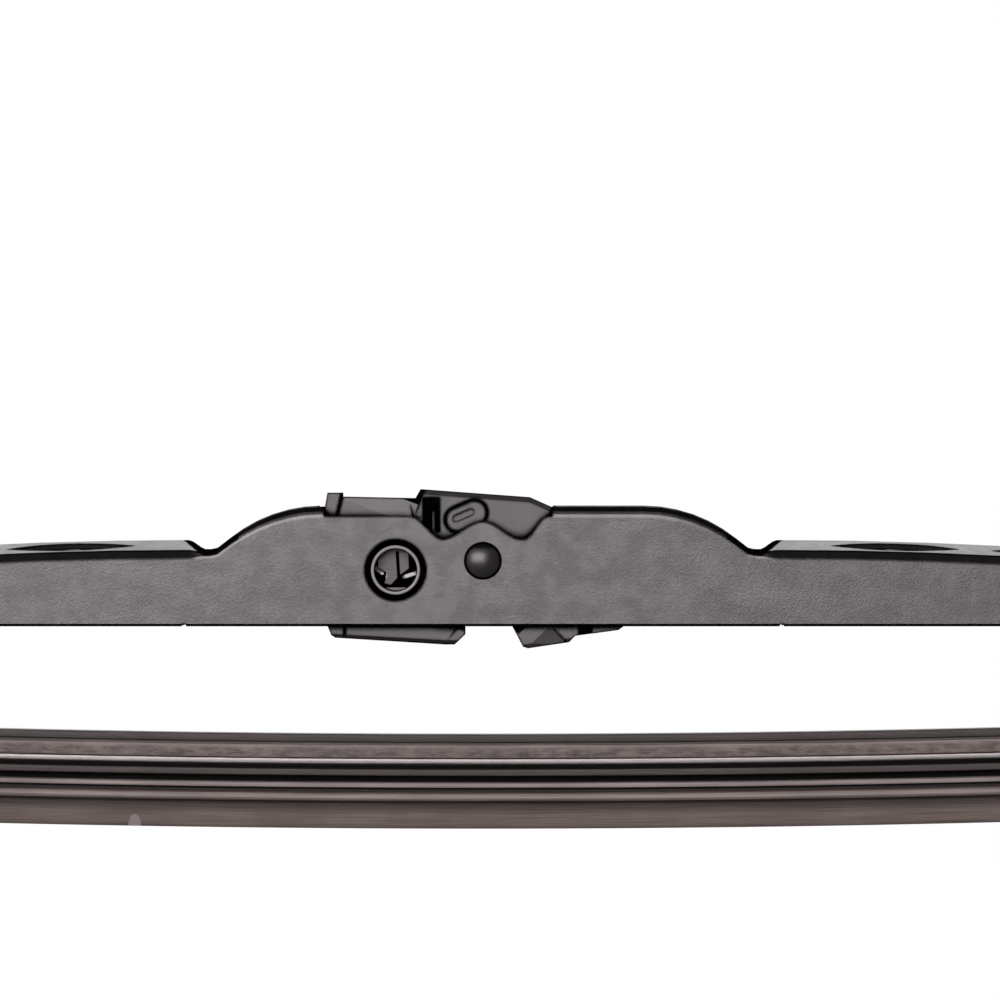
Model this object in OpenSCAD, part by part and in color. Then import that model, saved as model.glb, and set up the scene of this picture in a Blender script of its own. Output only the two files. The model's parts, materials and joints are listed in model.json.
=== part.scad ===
// Frame wiper blade: a pressed steel bridge with a plastic arm connector at its middle, two
// rocking yokes at its ends, and a rubber strip on two spring rails that four claws hold.
// X runs along the blade, +Z points away from the glass, and the origin is on the centre rivet.

/* [Bridge] */
// Width over the bridge's side walls
bridge_w = 14.4; // [13.8:0.1:16]
// Thickness of the bridge's steel
bridge_t = 1.0; // [0.8:0.05:1.1]
// Height of the hump's top above the centre rivet
hump_z = 8.6; // [8:0.1:10]
// Half the length of the hump's level top
hump_half_l = 25; // [22:0.5:30]
// Radius of the flanks that run down from the hump
flank_r = 22.6; // [20:0.2:26]
// Height of the valley between hump and arm
valley_z = 1.7; // [1:0.1:3]
// Height of the arm's crown beside the valley
arm_z = 3.2; // [2.8:0.1:4]
// Length of the level valley floor
valley_l = 2.1; // [1:0.1:4]
// Length of the slope from the valley up to the arm's shoulder
step_l = 2.6; // [1.5:0.1:4]
// Depth of the bottom edge below the centre rivet
belly_z = 10.2; // [9.5:0.1:12]
// Where the bottom edge starts to curve down, from the middle
belly_level_x = 84; // [70:1:100]
// Radius of the bend between the crown and a side wall on the hump
bend_r = 1.85; // [1.6:0.05:2.4]
// Radius of the same bend in the valleys
valley_bend_r = 1.4; // [1.2:0.05:2]
// Height of the sloped shoulders on the arms
shoulder_h = 1.55; // [1.2:0.05:2]
// Width of one sloped shoulder, seen from above
shoulder_w = 5.2; // [4:0.1:5.5]
// Height of the steep face between a shoulder and the wall
brow_h = 1.5; // [1.2:0.05:1.8]
// How far that face leans inwards
brow_w = 0.85; // [0.6:0.05:1]
// Radius of the rounded ears at the bridge's ends
ear_r = 4.8; // [4.2:0.1:5.6]

/* [Shoulder slots] */
// Length of a slot in the shoulders
slot_l = 19.8; // [15:0.2:21]
// Width of a slot at its middle
slot_w = 3.6; // [2.6:0.1:4]
// Distance from one slot's start to the next
slot_pitch = 25; // [24:0.5:30]
// Distance from the shoulder's start to the first slot
slot_start = 8.4; // [6:0.2:12]

/* [Connector] */
// Clearance between the connector and the bridge's walls
connector_gap = 0.3; // [0.25:0.05:0.5]
// Thickness of the connector's cheeks
cheek_t = 1.3; // [1.1:0.1:1.5]
// Height of the tongue that an arm's hook wraps round
tongue_h = 9.2; // [8.8:0.1:9.4]
// Depth of the tongue's middle below the centre rivet
tongue_z = 1.2; // [1.0:0.1:1.3]
// Length of the tongue behind the centre rivet
tongue_l = 19; // [18:0.5:19.5]
// Diameter of the side pin's bore
side_pin_d = 6.4; // [6.3:0.05:6.5]
// Distance of the side pin's bore from the centre rivet
side_pin_x = 13.6; // [13.2:0.1:13.8]
// Depth of the side pin's bore below the centre rivet
side_pin_z = 1.45; // [1.3:0.05:1.6]
// Diameter of the hole in the bridge round the side pin
side_hole_d = 9.6; // [9:0.1:10]
// Thickness of the spring clip that grips a side pin
pin_clip_t = 4.4; // [4:0.1:4.8]
// Height that the latch's pip stands above its lever
pip_h = 1.7; // [1.2:0.1:2]

/* [Rivets] */
// Diameter of the centre rivet's shank
rivet_d = 4.0; // [3.6:0.1:4.2]
// Diameter of the centre rivet's heads
rivet_head_d = 5.65; // [5:0.05:6.4]
// Diameter of the yoke rivets' shanks
yoke_rivet_d = 4.0; // [3.6:0.1:4.2]
// Diameter of the yoke rivets' heads
yoke_rivet_head_d = 6.0; // [5.4:0.1:6.6]
// Height of every rivet head
rivet_head_h = 1.2; // [0.8:0.1:1.6]
// Radial running clearance on a shank
running_gap = 0.05; // [0.02:0.01:0.08]

/* [Yokes] */
// Distance from the centre rivet to the inner claws
inner_claw_x = 88; // [84:1:96]
// Thickness of the plastic bearings between yoke and bridge
bearing_t = 0.5; // [0.4:0.05:0.7]
// Thickness of the yokes' steel
yoke_t = 0.8; // [0.7:0.05:0.9]
// Depth of the yoke pivots below the centre rivet
pivot_z = 12.7; // [12:0.1:14]
// Height of a yoke's crown above its pivot
yoke_crown_h = 3.2; // [3:0.1:3.4]
// Height of a yoke's side walls at its pivot
yoke_wall_h = 8.5; // [7.6:0.1:9]
// Height of a yoke's side walls beside its claws
yoke_wall_end_h = 3.0; // [2.6:0.1:3.4]
// Length of a claw along the strip
claw_l = 7; // [5:0.2:9]
// Thickness of a claw's turned-in tips
claw_tip_t = 0.6; // [0.5:0.02:0.64]
// Thickness of the plastic liner in a claw
liner_t = 0.5; // [0.4:0.05:0.5]

/* [Strip] */
// Length of the rubber strip
strip_l = 530; // [480:1:600]
// Length of strip beyond the middle of an outer claw
strip_overhang = 19; // [14:0.5:24]
// Depth of the strip's top below the centre rivet
strip_z = 27.1; // [26.5:0.1:30]
// Radius of the strip's sag between the inner claws, and of its bend beyond them
bow_r = 3200; // [2600:50:4000]
// Width of one spring rail
rail_w = 2.7; // [2.3:0.1:2.7]
// Thickness of the spring rails
rail_t = 0.9; // [0.7:0.05:0.92]
// Distance between the two spring rails
rail_apart = 2.8; // [2.8:0.1:3]
// Length of an end clip along the strip
clip_l = 6; // [5:0.5:8]
// Thickness of an end clip's steel
clip_t = 0.6; // [0.5:0.05:0.8]

/* [Hidden] */
$fn = 64;
paint = [0.16, 0.15, 0.16];
plastic = [0.12, 0.11, 0.11];
steel = [0.55, 0.55, 0.56];
rubber = [0.10, 0.085, 0.08];
far = 60;         // reach of a cutter that has to clear the part
slack = 0.1;      // gap between a strip piece and what grips it
seat = 0.05;      // gap between two pieces that bear on each other

// Half widths and the levels that pieces share
bridge_y = bridge_w / 2;
bridge_in_y = bridge_y - bridge_t;
cheek_y = bridge_in_y - connector_gap;
track_y = cheek_y - cheek_t;
bearing_gap = 0.2;
yoke_y = bridge_in_y - bearing_gap - bearing_t;
yoke_in_y = yoke_y - yoke_t;
rail_out_y = rail_apart / 2 + rail_w;
claw_in_y = rail_out_y + seat + liner_t + seat;
outer_claw_x = strip_l / 2 - strip_overhang;
yoke_span = outer_claw_x - inner_claw_x;
pivot_x = inner_claw_x + yoke_span / 2;

// One smooth step from 0 to 1
function ease(s) = let (t = min(max(s, 0), 1)) t * t * (3 - 2 * t);
function mix(a, b, s) = a + (b - a) * s;
function spread(a, b, n) = [for (i = [0 : n]) a + (b - a) * i / n];
function mirrored(v) = concat([for (i = [len(v) - 1 : -1 : 0]) -v[i]], v);

// Height of the strip's top at a place along the blade: it sags between the inner claws
function strip_top(x) = let (a = abs(x), c = inner_claw_x, b = min(a, c), d = max(a - c, 0))
    -strip_z + b * b / (2 * bow_r) + d * c / bow_r - d * d / (2 * bow_r);
function strip_tilt(x) = let (s = (strip_top(x + 1) - strip_top(x - 1)) / 2) -atan(s);

// Outline of the bridge, the same on both sides of the rivet
flank_drop = hump_z - valley_z;
flank_l = sqrt(flank_r * flank_r - pow(flank_r - flank_drop, 2));
valley_x = hump_half_l + flank_l;
step_x = valley_x + valley_l;
shoulder_x = step_x + step_l;
arm_fall = (arm_z + pivot_z - ear_r) / pow(pivot_x - shoulder_x, 2);
belly_fall = (pivot_z + ear_r - belly_z) / pow(pivot_x - belly_level_x, 2);
crown_end_x = pivot_x - 4;
fade_x = crown_end_x - 12;
slot_count = 1 + floor((fade_x - shoulder_x - slot_start - slot_l) / slot_pitch);

valley_fillet = 0.7;
function flank(d) = hump_z - (flank_r - sqrt(max(flank_r * flank_r - d * d, 0)));
function soft_max(a, b, s) = (a + b + sqrt((a - b) * (a - b) + s * s)) / 2;
function crown(x) = let (a = abs(x))
    a <= hump_half_l ? hump_z
    : a <= step_x ? soft_max(flank(a - hump_half_l), valley_z, valley_fillet)
    : a <= shoulder_x ? mix(crown(step_x), arm_z, ease((a - step_x) / step_l))
    : arm_z - arm_fall * pow(a - shoulder_x, 2);
function belly(x) = -belly_z - belly_fall * pow(max(abs(x) - belly_level_x, 0), 2);
function shoulder_share(x) = let (a = abs(x))
    ease((a - step_x) / step_l) * (1 - ease((a - fade_x) / (crown_end_x - fade_x)));

// Outside of a half section's bend, from the wall's top edge to the crown
function round_bend(y, top, r) = [for (q = [0 : 15 : 90])
    [y - r + r * cos(q), top - r + r * sin(q)]];
function sloped_bend(y, top) = let (h = shoulder_h, w = brow_w + shoulder_w, fall = h / shoulder_w)
    [[y, top - h - brow_h], [y - 0.12, top - h - brow_h + 0.3],
     [y - brow_w + 0.1, top - h - 0.16], [y - brow_w - 0.16, top - h + 0.1 * fall],
     [y - w + 0.4, top - 0.5 * fall], [y - w, top - 0.12 * fall], [y - w - 0.4, top]];

// The inside of a bent sheet: each corner of its outside, moved in by the sheet's thickness
function inset_path(p, t) = let (n = len(p) - 1) [for (i = [0 : n])
    let (before = i == 0 ? 90 : atan2(p[i][1] - p[i - 1][1], p[i][0] - p[i - 1][0]),
         after = i == n ? 180 : atan2(p[i + 1][1] - p[i][1], p[i + 1][0] - p[i][0]),
         way = (before + after) / 2 + 90, d = t / cos((after - before) / 2))
    p[i] + d * [cos(way), sin(way)]];

function bridge_bend(x) = let (k = shoulder_share(x), t = crown(x),
    r = mix(valley_bend_r, bend_r, ease((t - valley_z) / flank_drop)),
    a = round_bend(bridge_y, t, r), b = sloped_bend(bridge_y, t))
    [for (i = [0 : len(a) - 1]) mix(a[i], b[i], k)];
function bridge_outside(x) = concat([[bridge_y, belly(x)]], bridge_bend(x));
function bridge_inside(x) = concat([[bridge_in_y, belly(x)]], inset_path(bridge_bend(x), bridge_t));

// One solid from half sections, given as [y, z] points on the outside and on the inside
module channel(xs, outer, inner) {
    n = len(outer[0]);
    loops = [for (i = [0 : len(xs) - 1]) concat(
        [for (p = outer[i]) [xs[i], p[0], p[1]]],
        [for (j = [n - 1 : -1 : 0]) [xs[i], -outer[i][j][0], outer[i][j][1]]],
        [for (p = inner[i]) [xs[i], -p[0], p[1]]],
        [for (j = [n - 1 : -1 : 0]) [xs[i], inner[i][j][0], inner[i][j][1]]])];
    m = 4 * n;
    function flip(j) = m - 1 - j;
    sides = [for (i = [0 : len(xs) - 2], j = [0 : m - 1]) let (k = (j + 1) % m)
        each [[i * m + j, i * m + k, (i + 1) * m + k], [i * m + j, (i + 1) * m + k, (i + 1) * m + j]]];
    start = [for (j = [0 : 2 * n - 2])
        each [[j, flip(j), flip(j + 1)], [j, flip(j + 1), j + 1]]];
    stop = [for (f = start) [for (k = [2 : -1 : 0]) f[k] + (len(xs) - 1) * m]];
    polyhedron([for (s = loops) each s], concat(start, sides, stop));
}

// One solid from a section that is the same on both sides, as [depth, half width] levels
module bar(xs, levels) {
    n = len(levels);
    m = 2 * n;
    points = [for (x = xs) each concat(
        [for (v = levels) [x, v[1], strip_top(x) - v[0]]],
        [for (j = [n - 1 : -1 : 0]) [x, -levels[j][1], strip_top(x) - levels[j][0]]])];
    sides = [for (i = [0 : len(xs) - 2], j = [0 : m - 1]) let (k = (j + 1) % m)
        each [[i * m + j, (i + 1) * m + k, i * m + k], [i * m + j, (i + 1) * m + j, (i + 1) * m + k]]];
    start = [for (j = [0 : n - 2])
        each [[j, m - 2 - j, m - 1 - j], [j, j + 1, m - 2 - j]]];
    stop = [for (f = start) [for (k = [2 : -1 : 0]) f[k] + (len(xs) - 1) * m]];
    polyhedron(points, concat(start, sides, stop));
}

// A round bar across the blade
module across(d, w) {
    rotate([90, 0, 0]) cylinder(d = d, h = w, center = true);
}

// A slab across the blade with its outline in the XZ plane
module slab(w) {
    rotate([90, 0, 0]) linear_extrude(w, center = true) children();
}

module at_strip(x) {
    translate([x, 0, strip_top(x)]) rotate([0, strip_tilt(x), 0]) children();
}

// The connector's cheeks end in arcs about the rivet, so the bridge can rock round them
cheek_in_r = 26.7;
cheek_out_r = 13.65;
cheek_foot_z = -9.9;

// Bridge

bridge_xs = mirrored(concat([hump_half_l],
    [for (i = [1 : 7]) hump_half_l + flank_r * sin(asin(flank_l / flank_r) * i / 7)],
    spread((valley_x + step_x) / 2, shoulder_x, 6),
    [for (i = [1 : 9]) mix(shoulder_x, fade_x, i / 9)],
    [for (i = [1 : 3]) mix(fade_x, crown_end_x, i / 3)],
    [pivot_x, pivot_x + ear_r]));

// Top edge of the side walls inside the hook window: low beside the rivet, with a lobe over it
window_z = 6.9;
dip_z = 3.3;
lobe_z = 6.1;
dip_in_x = -6.3;
dip_out_x = 5.9;
fall_start_x = -11.3;
rise_start_x = 6.5;
rise_end_x = 10;
window_in_r = cheek_in_r + connector_gap - seat;
window_out_r = cheek_out_r + connector_gap - seat;
window_y = cheek_y + connector_gap / 2;
wall_cut_in_x = -24.7;
wall_cut_out_x = 10.8;
function wall_top(x) =
    x < dip_in_x ? mix(window_z, dip_z, ease((x - fall_start_x) / (dip_in_x - fall_start_x)))
    : x < 0 ? mix(lobe_z, dip_z, ease(x / dip_in_x))
    : x < dip_out_x ? mix(lobe_z, dip_z, ease(x / dip_out_x))
    : mix(dip_z, window_z, ease((x - rise_start_x) / (rise_end_x - rise_start_x)));

// The crown's window is longer than the cut in the walls, whose rolled edges hide its ends
module window_cut() {
    slab(2 * window_y) intersection() {
        union() {
            intersection() {
                circle(r = window_in_r, $fn = 256);
                translate([-far, 0]) square([far, far]);
            }
            circle(r = window_out_r, $fn = 256);
        }
        translate([-far, dip_z]) square([2 * far, far]);
    }
    slab(far) polygon(concat([[wall_cut_in_x, far], [wall_cut_in_x, window_z]],
        [for (x = spread(fall_start_x, rise_end_x, 26)) [x, wall_top(x)]],
        [[wall_cut_out_x, window_z], [wall_cut_out_x, far]]));
}

// The arm passes through the crown behind the window, between the rolled edges
arm_slot_in_x = -36;
arm_slot_out_x = 16;
arm_slot_y = 4.4;

module arm_slot_cut() {
    l = arm_slot_out_x - arm_slot_in_x;
    translate([arm_slot_in_x, -arm_slot_y, 0]) cube([l, 2 * arm_slot_y, far]);
}

// A lens with pointed ends, from two large circles
module slot_lens() {
    a = slot_l / 2;
    b = slot_w / 2;
    r = (a * a + b * b) / (2 * b);
    linear_extrude(3, center = true) intersection_for (s = [-1, 1])
        translate([0, s * (r - b)]) circle(r = r, $fn = 360);
}

module shoulder_slots() {
    slope = atan(shoulder_h / shoulder_w);
    slot_rise = 0.48;
    for (i = [0 : slot_count - 1]) {
        x = shoulder_x + slot_start + slot_l / 2 + i * slot_pitch;
        tilt = atan(2 * arm_fall * (x - shoulder_x));
        for (end = [0, 1], side = [0, 1]) mirror([end, 0, 0]) mirror([0, side, 0])
            translate([x, bridge_y - brow_w - shoulder_w * slot_rise,
                    crown(x) - shoulder_h * (1 - slot_rise)])
                rotate([0, tilt, 0]) rotate([-slope, 0, 0]) slot_lens();
    }
}

// Rounds the bridge's ends into ears and opens the crown between them for the yoke
module ear_cut() {
    end_l = 2 * ear_r;
    difference() {
        translate([pivot_x, -far, -far - pivot_z]) cube([end_l, 2 * far, 2 * far]);
        translate([pivot_x, 0, -pivot_z]) across(2 * ear_r, 3 * far);
    }
    translate([crown_end_x, -bridge_in_y, -far - pivot_z])
        cube([2 * end_l, 2 * bridge_in_y, 2 * far]);
}

notch_x = 46.5;
notch_r = 0.35;

module main_bridge() {
    color(paint) difference() {
        channel(bridge_xs, [for (x = bridge_xs) bridge_outside(x)],
            [for (x = bridge_xs) bridge_inside(x)]);
        window_cut();
        arm_slot_cut();
        shoulder_slots();
        across(rivet_d, far);
        translate([-side_pin_x, 0, -side_pin_z]) across(side_hole_d, far);
        for (end = [0, 1]) mirror([end, 0, 0]) {
            ear_cut();
            translate([pivot_x, 0, -pivot_z]) across(yoke_rivet_d, far);
            translate([notch_x, 0, -belly_z]) across(2 * notch_r, far);
        }
    }
}

// Rivets

module rivet(shank_d, head_d) {
    a = head_d / 2;
    r = (a * a + rivet_head_h * rivet_head_h) / (2 * rivet_head_h);
    across(shank_d, bridge_w);
    for (side = [0, 1]) mirror([0, side, 0]) translate([0, -bridge_y, 0]) rotate([90, 0, 0])
        rotate_extrude() intersection() {
            translate([0, rivet_head_h - r]) circle(r = r);
            square([a, rivet_head_h]);
        }
}

module centre_rivet() {
    color(paint) rivet(rivet_d, rivet_head_d);
}

module yoke_rivet() {
    color(paint) translate([pivot_x, 0, -pivot_z]) rivet(yoke_rivet_d, yoke_rivet_head_d);
}

// Connector

hinge_x = -20.3;
hinge_z = -8.4;
hinge_r = 1.5;
trunnion_d = 2.0;

// Corners of a cheek's outline: the raised tail, the beam, the peaked plate over the rivet,
// the nose that runs out under the bridge, and the jaw below the hook's curl
tail = [-24.2, 10.6];
beam_start = [-21.9, 10];
beam_end = [-10.5, 9.75];
peak = [-9.7, 11.15];
plate_end = [7.3, 9.9];
plate_foot = [10.9, 8.3];
nose_tip = [22, -10.15];
jaw_front = [13.4, -12.7];
jaw_back = [7, -13.65];
throat_x = 4.4;

module cheek_outline() {
    intersection() {
        union() {
            circle(r = cheek_out_r, $fn = 200);
            translate([-cheek_in_r, -cheek_in_r]) square([cheek_in_r, 2 * cheek_in_r]);
            translate([0, -cheek_in_r]) square([cheek_in_r, cheek_in_r - dip_z]);
        }
        circle(r = cheek_in_r, $fn = 256);
        polygon([[-cheek_in_r, 0], [tail[0] - 1.1, 4.5], tail, [beam_start[0], tail[1]],
            beam_start, beam_end, peak, plate_end, plate_foot, [13.2, 3], [12.4, -4],
            [16, cheek_foot_z + 0.3], nose_tip, [nose_tip[0] - 0.9, -10.8], [14.4, -11.7],
            jaw_front, jaw_back, [6.25, -13.4], [throat_x, cheek_foot_z],
            [hinge_x, cheek_foot_z], [hinge_x - hinge_r, hinge_z], [-23, -3]]);
    }
}

module tongue_outline() {
    r = tongue_h / 2;
    translate([0, -tongue_z]) circle(r = r);
    translate([-tongue_l, -tongue_z - r]) square([tongue_l, tongue_h]);
}

module cheeks() {
    for (side = [-1, 1]) translate([0, side * (track_y + cheek_t / 2), 0])
        slab(cheek_t) cheek_outline();
}

// Slopes both outer faces inwards on the left of the line from p to q, as a moulded facet
module facet_cut(p, q, slope, reach = 6) {
    run = q - p;
    lap = 0.3;
    for (side = [0, 1]) mirror([0, side, 0]) translate([p[0], -cheek_y - lap / 15, p[1]])
        rotate([0, -atan2(run[1], run[0]), 0]) rotate([-slope, 0, 0])
            translate([-lap, -far, 0]) cube([norm(run) + 2 * lap, far, reach]);
}

// Sinks an outline into both outer faces
module sink(depth) {
    for (side = [0, 1]) mirror([0, side, 0]) translate([0, -cheek_y, 0])
        slab(2 * depth) children();
}

// Outline of a groove or boss with round ends
module capsule(p, q, r) {
    way = atan2(q[1] - p[1], q[0] - p[0]);
    polygon([for (end = [[p, 90], [q, -90]], i = [0 : 12])
        end[0] + r * [cos(way + end[1] + 15 * i), sin(way + end[1] + 15 * i)]]);
}

// The bean-shaped boss on the outside of a cheek, over the rivet, with a groove round it
bean_in = [-3.9, 6.4];
bean_out = [-1.3, 7.5];
bean_r = 1.75;
groove_w = 0.45;

bean_stand = 0.25;
groove_depth = 0.5;

module cheek_boss() {
    boss_t = groove_depth + bean_stand + seat;
    for (side = [-1, 1]) translate([0, side * (cheek_y + bean_stand - boss_t / 2), 0])
        slab(boss_t) difference() {
            capsule(bean_in, bean_out, bean_r);
            capsule(bean_in + [-0.3, 0.2], bean_out + [-0.6, 0.1], groove_w);
        }
}

module boss_groove() {
    sink(groove_depth) capsule(bean_in, bean_out, bean_r + groove_w);
}

// Pocket behind the peak, with a rib standing in it. It is blind on the far side, and opens
// into the hook's track on the near side.
module pocket_outline() {
    pocket = [-9.35, 4.45];
    pocket_w = 2.65;
    rib_x = 1.45;
    rib_w = 0.4;
    difference() {
        translate(pocket) square([pocket_w, peak[1] - pocket[1] - 1.3]);
        translate(pocket + [rib_x, -seat]) square([rib_w, 3.2]);
    }
}

module peak_pocket() {
    blind = 0.9;
    sink(blind) pocket_outline();
    translate([0, -cheek_y, 0]) slab(2 * cheek_t + 1) pocket_outline();
}

// The moulded facets: the beam's crease and end, the plate's sloped rim, and the jaw's faces
module cheek_facets() {
    crease_slope = 7;
    crease_end = beam_end + [-0.9, -4.2];
    rim_slope = 28;
    rim_w = 0.85;
    facet_cut(beam_start + [0.3, -0.6], crease_end, crease_slope);
    facet_cut(peak + [0.3, -4.1], peak + [-0.3, -1.2], 2 * crease_slope, 1.6);
    facet_cut(peak - [0, rim_w], plate_end - [0, rim_w], rim_slope);
    facet_cut(plate_end - [0, rim_w], plate_foot + [0.6, -rim_w - 0.3], rim_slope);
    facet_cut([5.8, -11.2], [7, cheek_foot_z - 0.2], rim_slope, 1.6);
    facet_cut([10.2, cheek_foot_z - 0.2], [7.3, -12.9], crease_slope, 5);
    facet_cut(jaw_front + [0, 0.6], jaw_back + [-0.5, 0.6], rim_slope, 1.6);
    sink(0.5) translate([14.9, -12]) square([2.1, 2.4]);
    sink(0.5) capsule(beam_start + [0.15, 0.9], beam_start + [-0.9, -3.4], groove_w / 2);
}

// Ring that stands in a deep moat round the side pin's bore. The bore ends blind in the far cheek.
ring_t = 0.15;
ring_w = 0.6;
moat_d = 9.5;
bore_end_y = pin_clip_t / 2 + 1.2;

module moat(depth) {
    for (side = [-1, 1])
        translate([-side_pin_x, side * (cheek_y + far / 2 - depth), -side_pin_z])
            across(moat_d, far);
}

module side_pin_moat() {
    moat(cheek_t - 0.3);
    intersection() {
        moat(2 * cheek_t);
        slab(far) tongue_outline();
    }
}

module side_pin_ring() {
    translate([-side_pin_x, 0, -side_pin_z])
        across(side_pin_d + 2 * ring_w, 2 * (cheek_y + ring_t));
}

module side_pin_bore() {
    translate([-side_pin_x, bore_end_y, -side_pin_z]) rotate([90, 0, 0]) {
        cylinder(d = side_pin_d, h = far);
        translate([0, 0, bore_end_y + cheek_y]) cylinder(d = side_pin_d + 2 * ring_t, h = far);
    }
    translate([-side_pin_x, cheek_y + ring_t, -side_pin_z]) across(side_pin_d, 1);
}

// Spring clip for a side pin: a frame round the bore with two jaws that hang into it
clip_x = 4.2;
clip_foot_z = -side_pin_z - side_pin_d / 2 - 0.4;
clip_top_z = tongue_h / 2 - tongue_z;

module connector_body() {
    color(plastic) difference() {
        union() {
            difference() {
                union() {
                    cheeks();
                    slab(2 * track_y + cheek_t / 2) tongue_outline();
                }
                cheek_facets();
                peak_pocket();
                boss_groove();
                side_pin_moat();
            }
            cheek_boss();
            side_pin_ring();
        }
        across(rivet_d + 2 * running_gap, far);
        side_pin_bore();
        translate([-side_pin_x - clip_x, -pin_clip_t / 2 - seat, clip_foot_z - seat])
            cube([2 * clip_x, pin_clip_t + 2 * seat, far]);
        translate([hinge_x, 0, hinge_z]) across(trunnion_d + 2 * running_gap, far);
    }
}

// Places of the jaws are given from the middle of the bore
module side_pin_clip() {
    frame_t = 0.85;
    out_x = clip_x - seat;
    foot = clip_foot_z + side_pin_z;
    top = clip_top_z + side_pin_z;
    jaw_top = side_pin_d / 2 - 0.3;
    bump_r = 0.34;
    color(steel) translate([-side_pin_x, 0, -side_pin_z]) {
        slab(pin_clip_t) {
            difference() {
                translate([-out_x, foot]) square([2 * out_x, top - foot]);
                translate([frame_t - out_x, foot + frame_t])
                    square([2 * (out_x - frame_t), jaw_top - foot - frame_t]);
            }
            polygon([[-2.83, jaw_top + 0.1], [0.05, jaw_top + 0.1], [0.3, -1.29], [-0.8, -2.4],
                [-1.8, -2.1], [-1.5, -0.44], [-2.8, 0.3]]);
            polygon([[0.4, jaw_top + 0.1], [2, jaw_top + 0.1], [2.1, 0.2], [0.65, -0.86]]);
        }
        slab(pin_clip_t - 1.4) {
            capsule([frame_t / 2 - out_x, 0.6], [-2.1, -0.5], bump_r);
            capsule([out_x - frame_t / 2, -0.3], [1.3, -1.1], bump_r);
        }
    }
}

module connector_latch() {
    lever_top_z = cheek_foot_z - 0.2;
    ear_y = track_y - slack;
    pip_x = -8;
    heel = [-22.97, -12];
    toe = [-5.94, -13.05];
    toe_tip_x = -2.75;
    bevel_w = 0.6;
    bevel_slope = 50;
    color(plastic) {
        difference() {
            slab(2 * cheek_y) polygon([[-24.2, lever_top_z], [-23.6, -11.6], heel, toe,
                [-4.4, toe[1]], [toe_tip_x, -11.5], [toe_tip_x, lever_top_z]]);
            facet_cut(toe + [2, bevel_w], toe + [0, bevel_w], bevel_slope);
            facet_cut(toe + [0, bevel_w], heel + [-1.5, bevel_w], bevel_slope);
            facet_cut([-8.75, lever_top_z + 0.1], toe + [0, bevel_w], 6);
            facet_cut([-5.5, lever_top_z + 0.1], [-2, -11.7], 14);
            sink(0.25) translate([-21.7, toe[1]]) square([0.4, far]);
        }
        slab(2 * ear_y) {
            translate([hinge_x, hinge_z]) circle(r = hinge_r);
            translate([hinge_x - hinge_r, lever_top_z - 1])
                square([2 * hinge_r, hinge_z - lever_top_z + 1]);
        }
        translate([hinge_x, 0, hinge_z]) across(trunnion_d, 2 * cheek_y);
        translate([pip_x, 0, lever_top_z - 1]) cylinder(d1 = 4, d2 = 3, h = pip_h + 1);
    }
}

// Yokes

block_foot = 3.7;   // depth of the rails' seat in the rubber
claw_top_depth = block_foot + seat + rail_t + slack;
claw_depth = claw_top_depth + claw_tip_t;
roof_gap = slack + liner_t + seat;
claw_zone = claw_l / 2;
claw_step = 0.2;
claw_tip_y = 2.2;
yoke_bend_r = 1.6;

function yoke_reach(x) = (abs(x) - pivot_x) / (yoke_span / 2);
function yoke_claw_top(x) = strip_top(x) + roof_gap + yoke_t;
function yoke_crown(x) = let (s = min(abs(yoke_reach(x)), 1), lift = yoke_crown_h - pivot_z)
    mix(lift, yoke_claw_top(x), (1 - cos(180 * s)) / 2);
function in_claw(x, steps) = min(abs(abs(x) - inner_claw_x), abs(abs(x) - outer_claw_x))
    < claw_zone + (steps + 0.5) * claw_step;
function yoke_foot(x) = in_claw(x, 1) ? strip_top(x) - claw_depth
    : yoke_crown(x) - mix(yoke_wall_h, yoke_wall_end_h, ease(abs(yoke_reach(x))));
function yoke_inner_y(x) = in_claw(x, 1) ? claw_in_y : yoke_in_y;
function yoke_tip_y(x) = in_claw(x, 0) ? claw_tip_y : yoke_inner_y(x) - claw_step;
function yoke_bend(x) = round_bend(yoke_inner_y(x) + yoke_t, yoke_crown(x), yoke_bend_r);
function yoke_outside(x) = concat(
    [[yoke_tip_y(x), yoke_foot(x)], [yoke_inner_y(x) + yoke_t, yoke_foot(x)]],
    yoke_bend(x));
function yoke_inside(x) = concat(
    [[yoke_tip_y(x), yoke_foot(x) + claw_tip_t - seat], [yoke_inner_y(x), yoke_foot(x) + claw_tip_t]],
    inset_path(yoke_bend(x), yoke_t));

yoke_xs = concat(
    [for (d = [-claw_zone, claw_zone, claw_zone + claw_step]) inner_claw_x + d],
    spread(inner_claw_x + claw_zone + 2 * claw_step, outer_claw_x - claw_zone - 2 * claw_step, 18),
    [for (d = [claw_zone + claw_step, claw_zone, -claw_zone]) outer_claw_x - d]);

module yoke() {
    color(paint) difference() {
        channel(yoke_xs, [for (x = yoke_xs) yoke_outside(x)], [for (x = yoke_xs) yoke_inside(x)]);
        translate([pivot_x, 0, -pivot_z]) across(spigot_d, far);
    }
}

// Plastic bearing that clips over a yoke's crown, with a spigot in each wall
spigot_d = 5.2;
bearing_r = 3.6;

module yoke_bearing() {
    top = yoke_crown_h + 0.7;
    color(plastic) translate([pivot_x, 0, -pivot_z]) difference() {
        union() {
            for (side = [-1, 1]) translate([0, side * (yoke_y + bearing_t / 2), 0])
                slab(bearing_t) {
                    circle(r = bearing_r);
                    translate([-3, 0]) square([6, top]);
                }
            translate([-3, -yoke_y - bearing_t, yoke_crown_h]) cube([6, 2 * (yoke_y + bearing_t), 0.7]);
            across(spigot_d, 2 * yoke_y);
        }
        across(spigot_d + 1, 2 * yoke_in_y);
        across(yoke_rivet_d + 2 * running_gap, far);
    }
}

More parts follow.
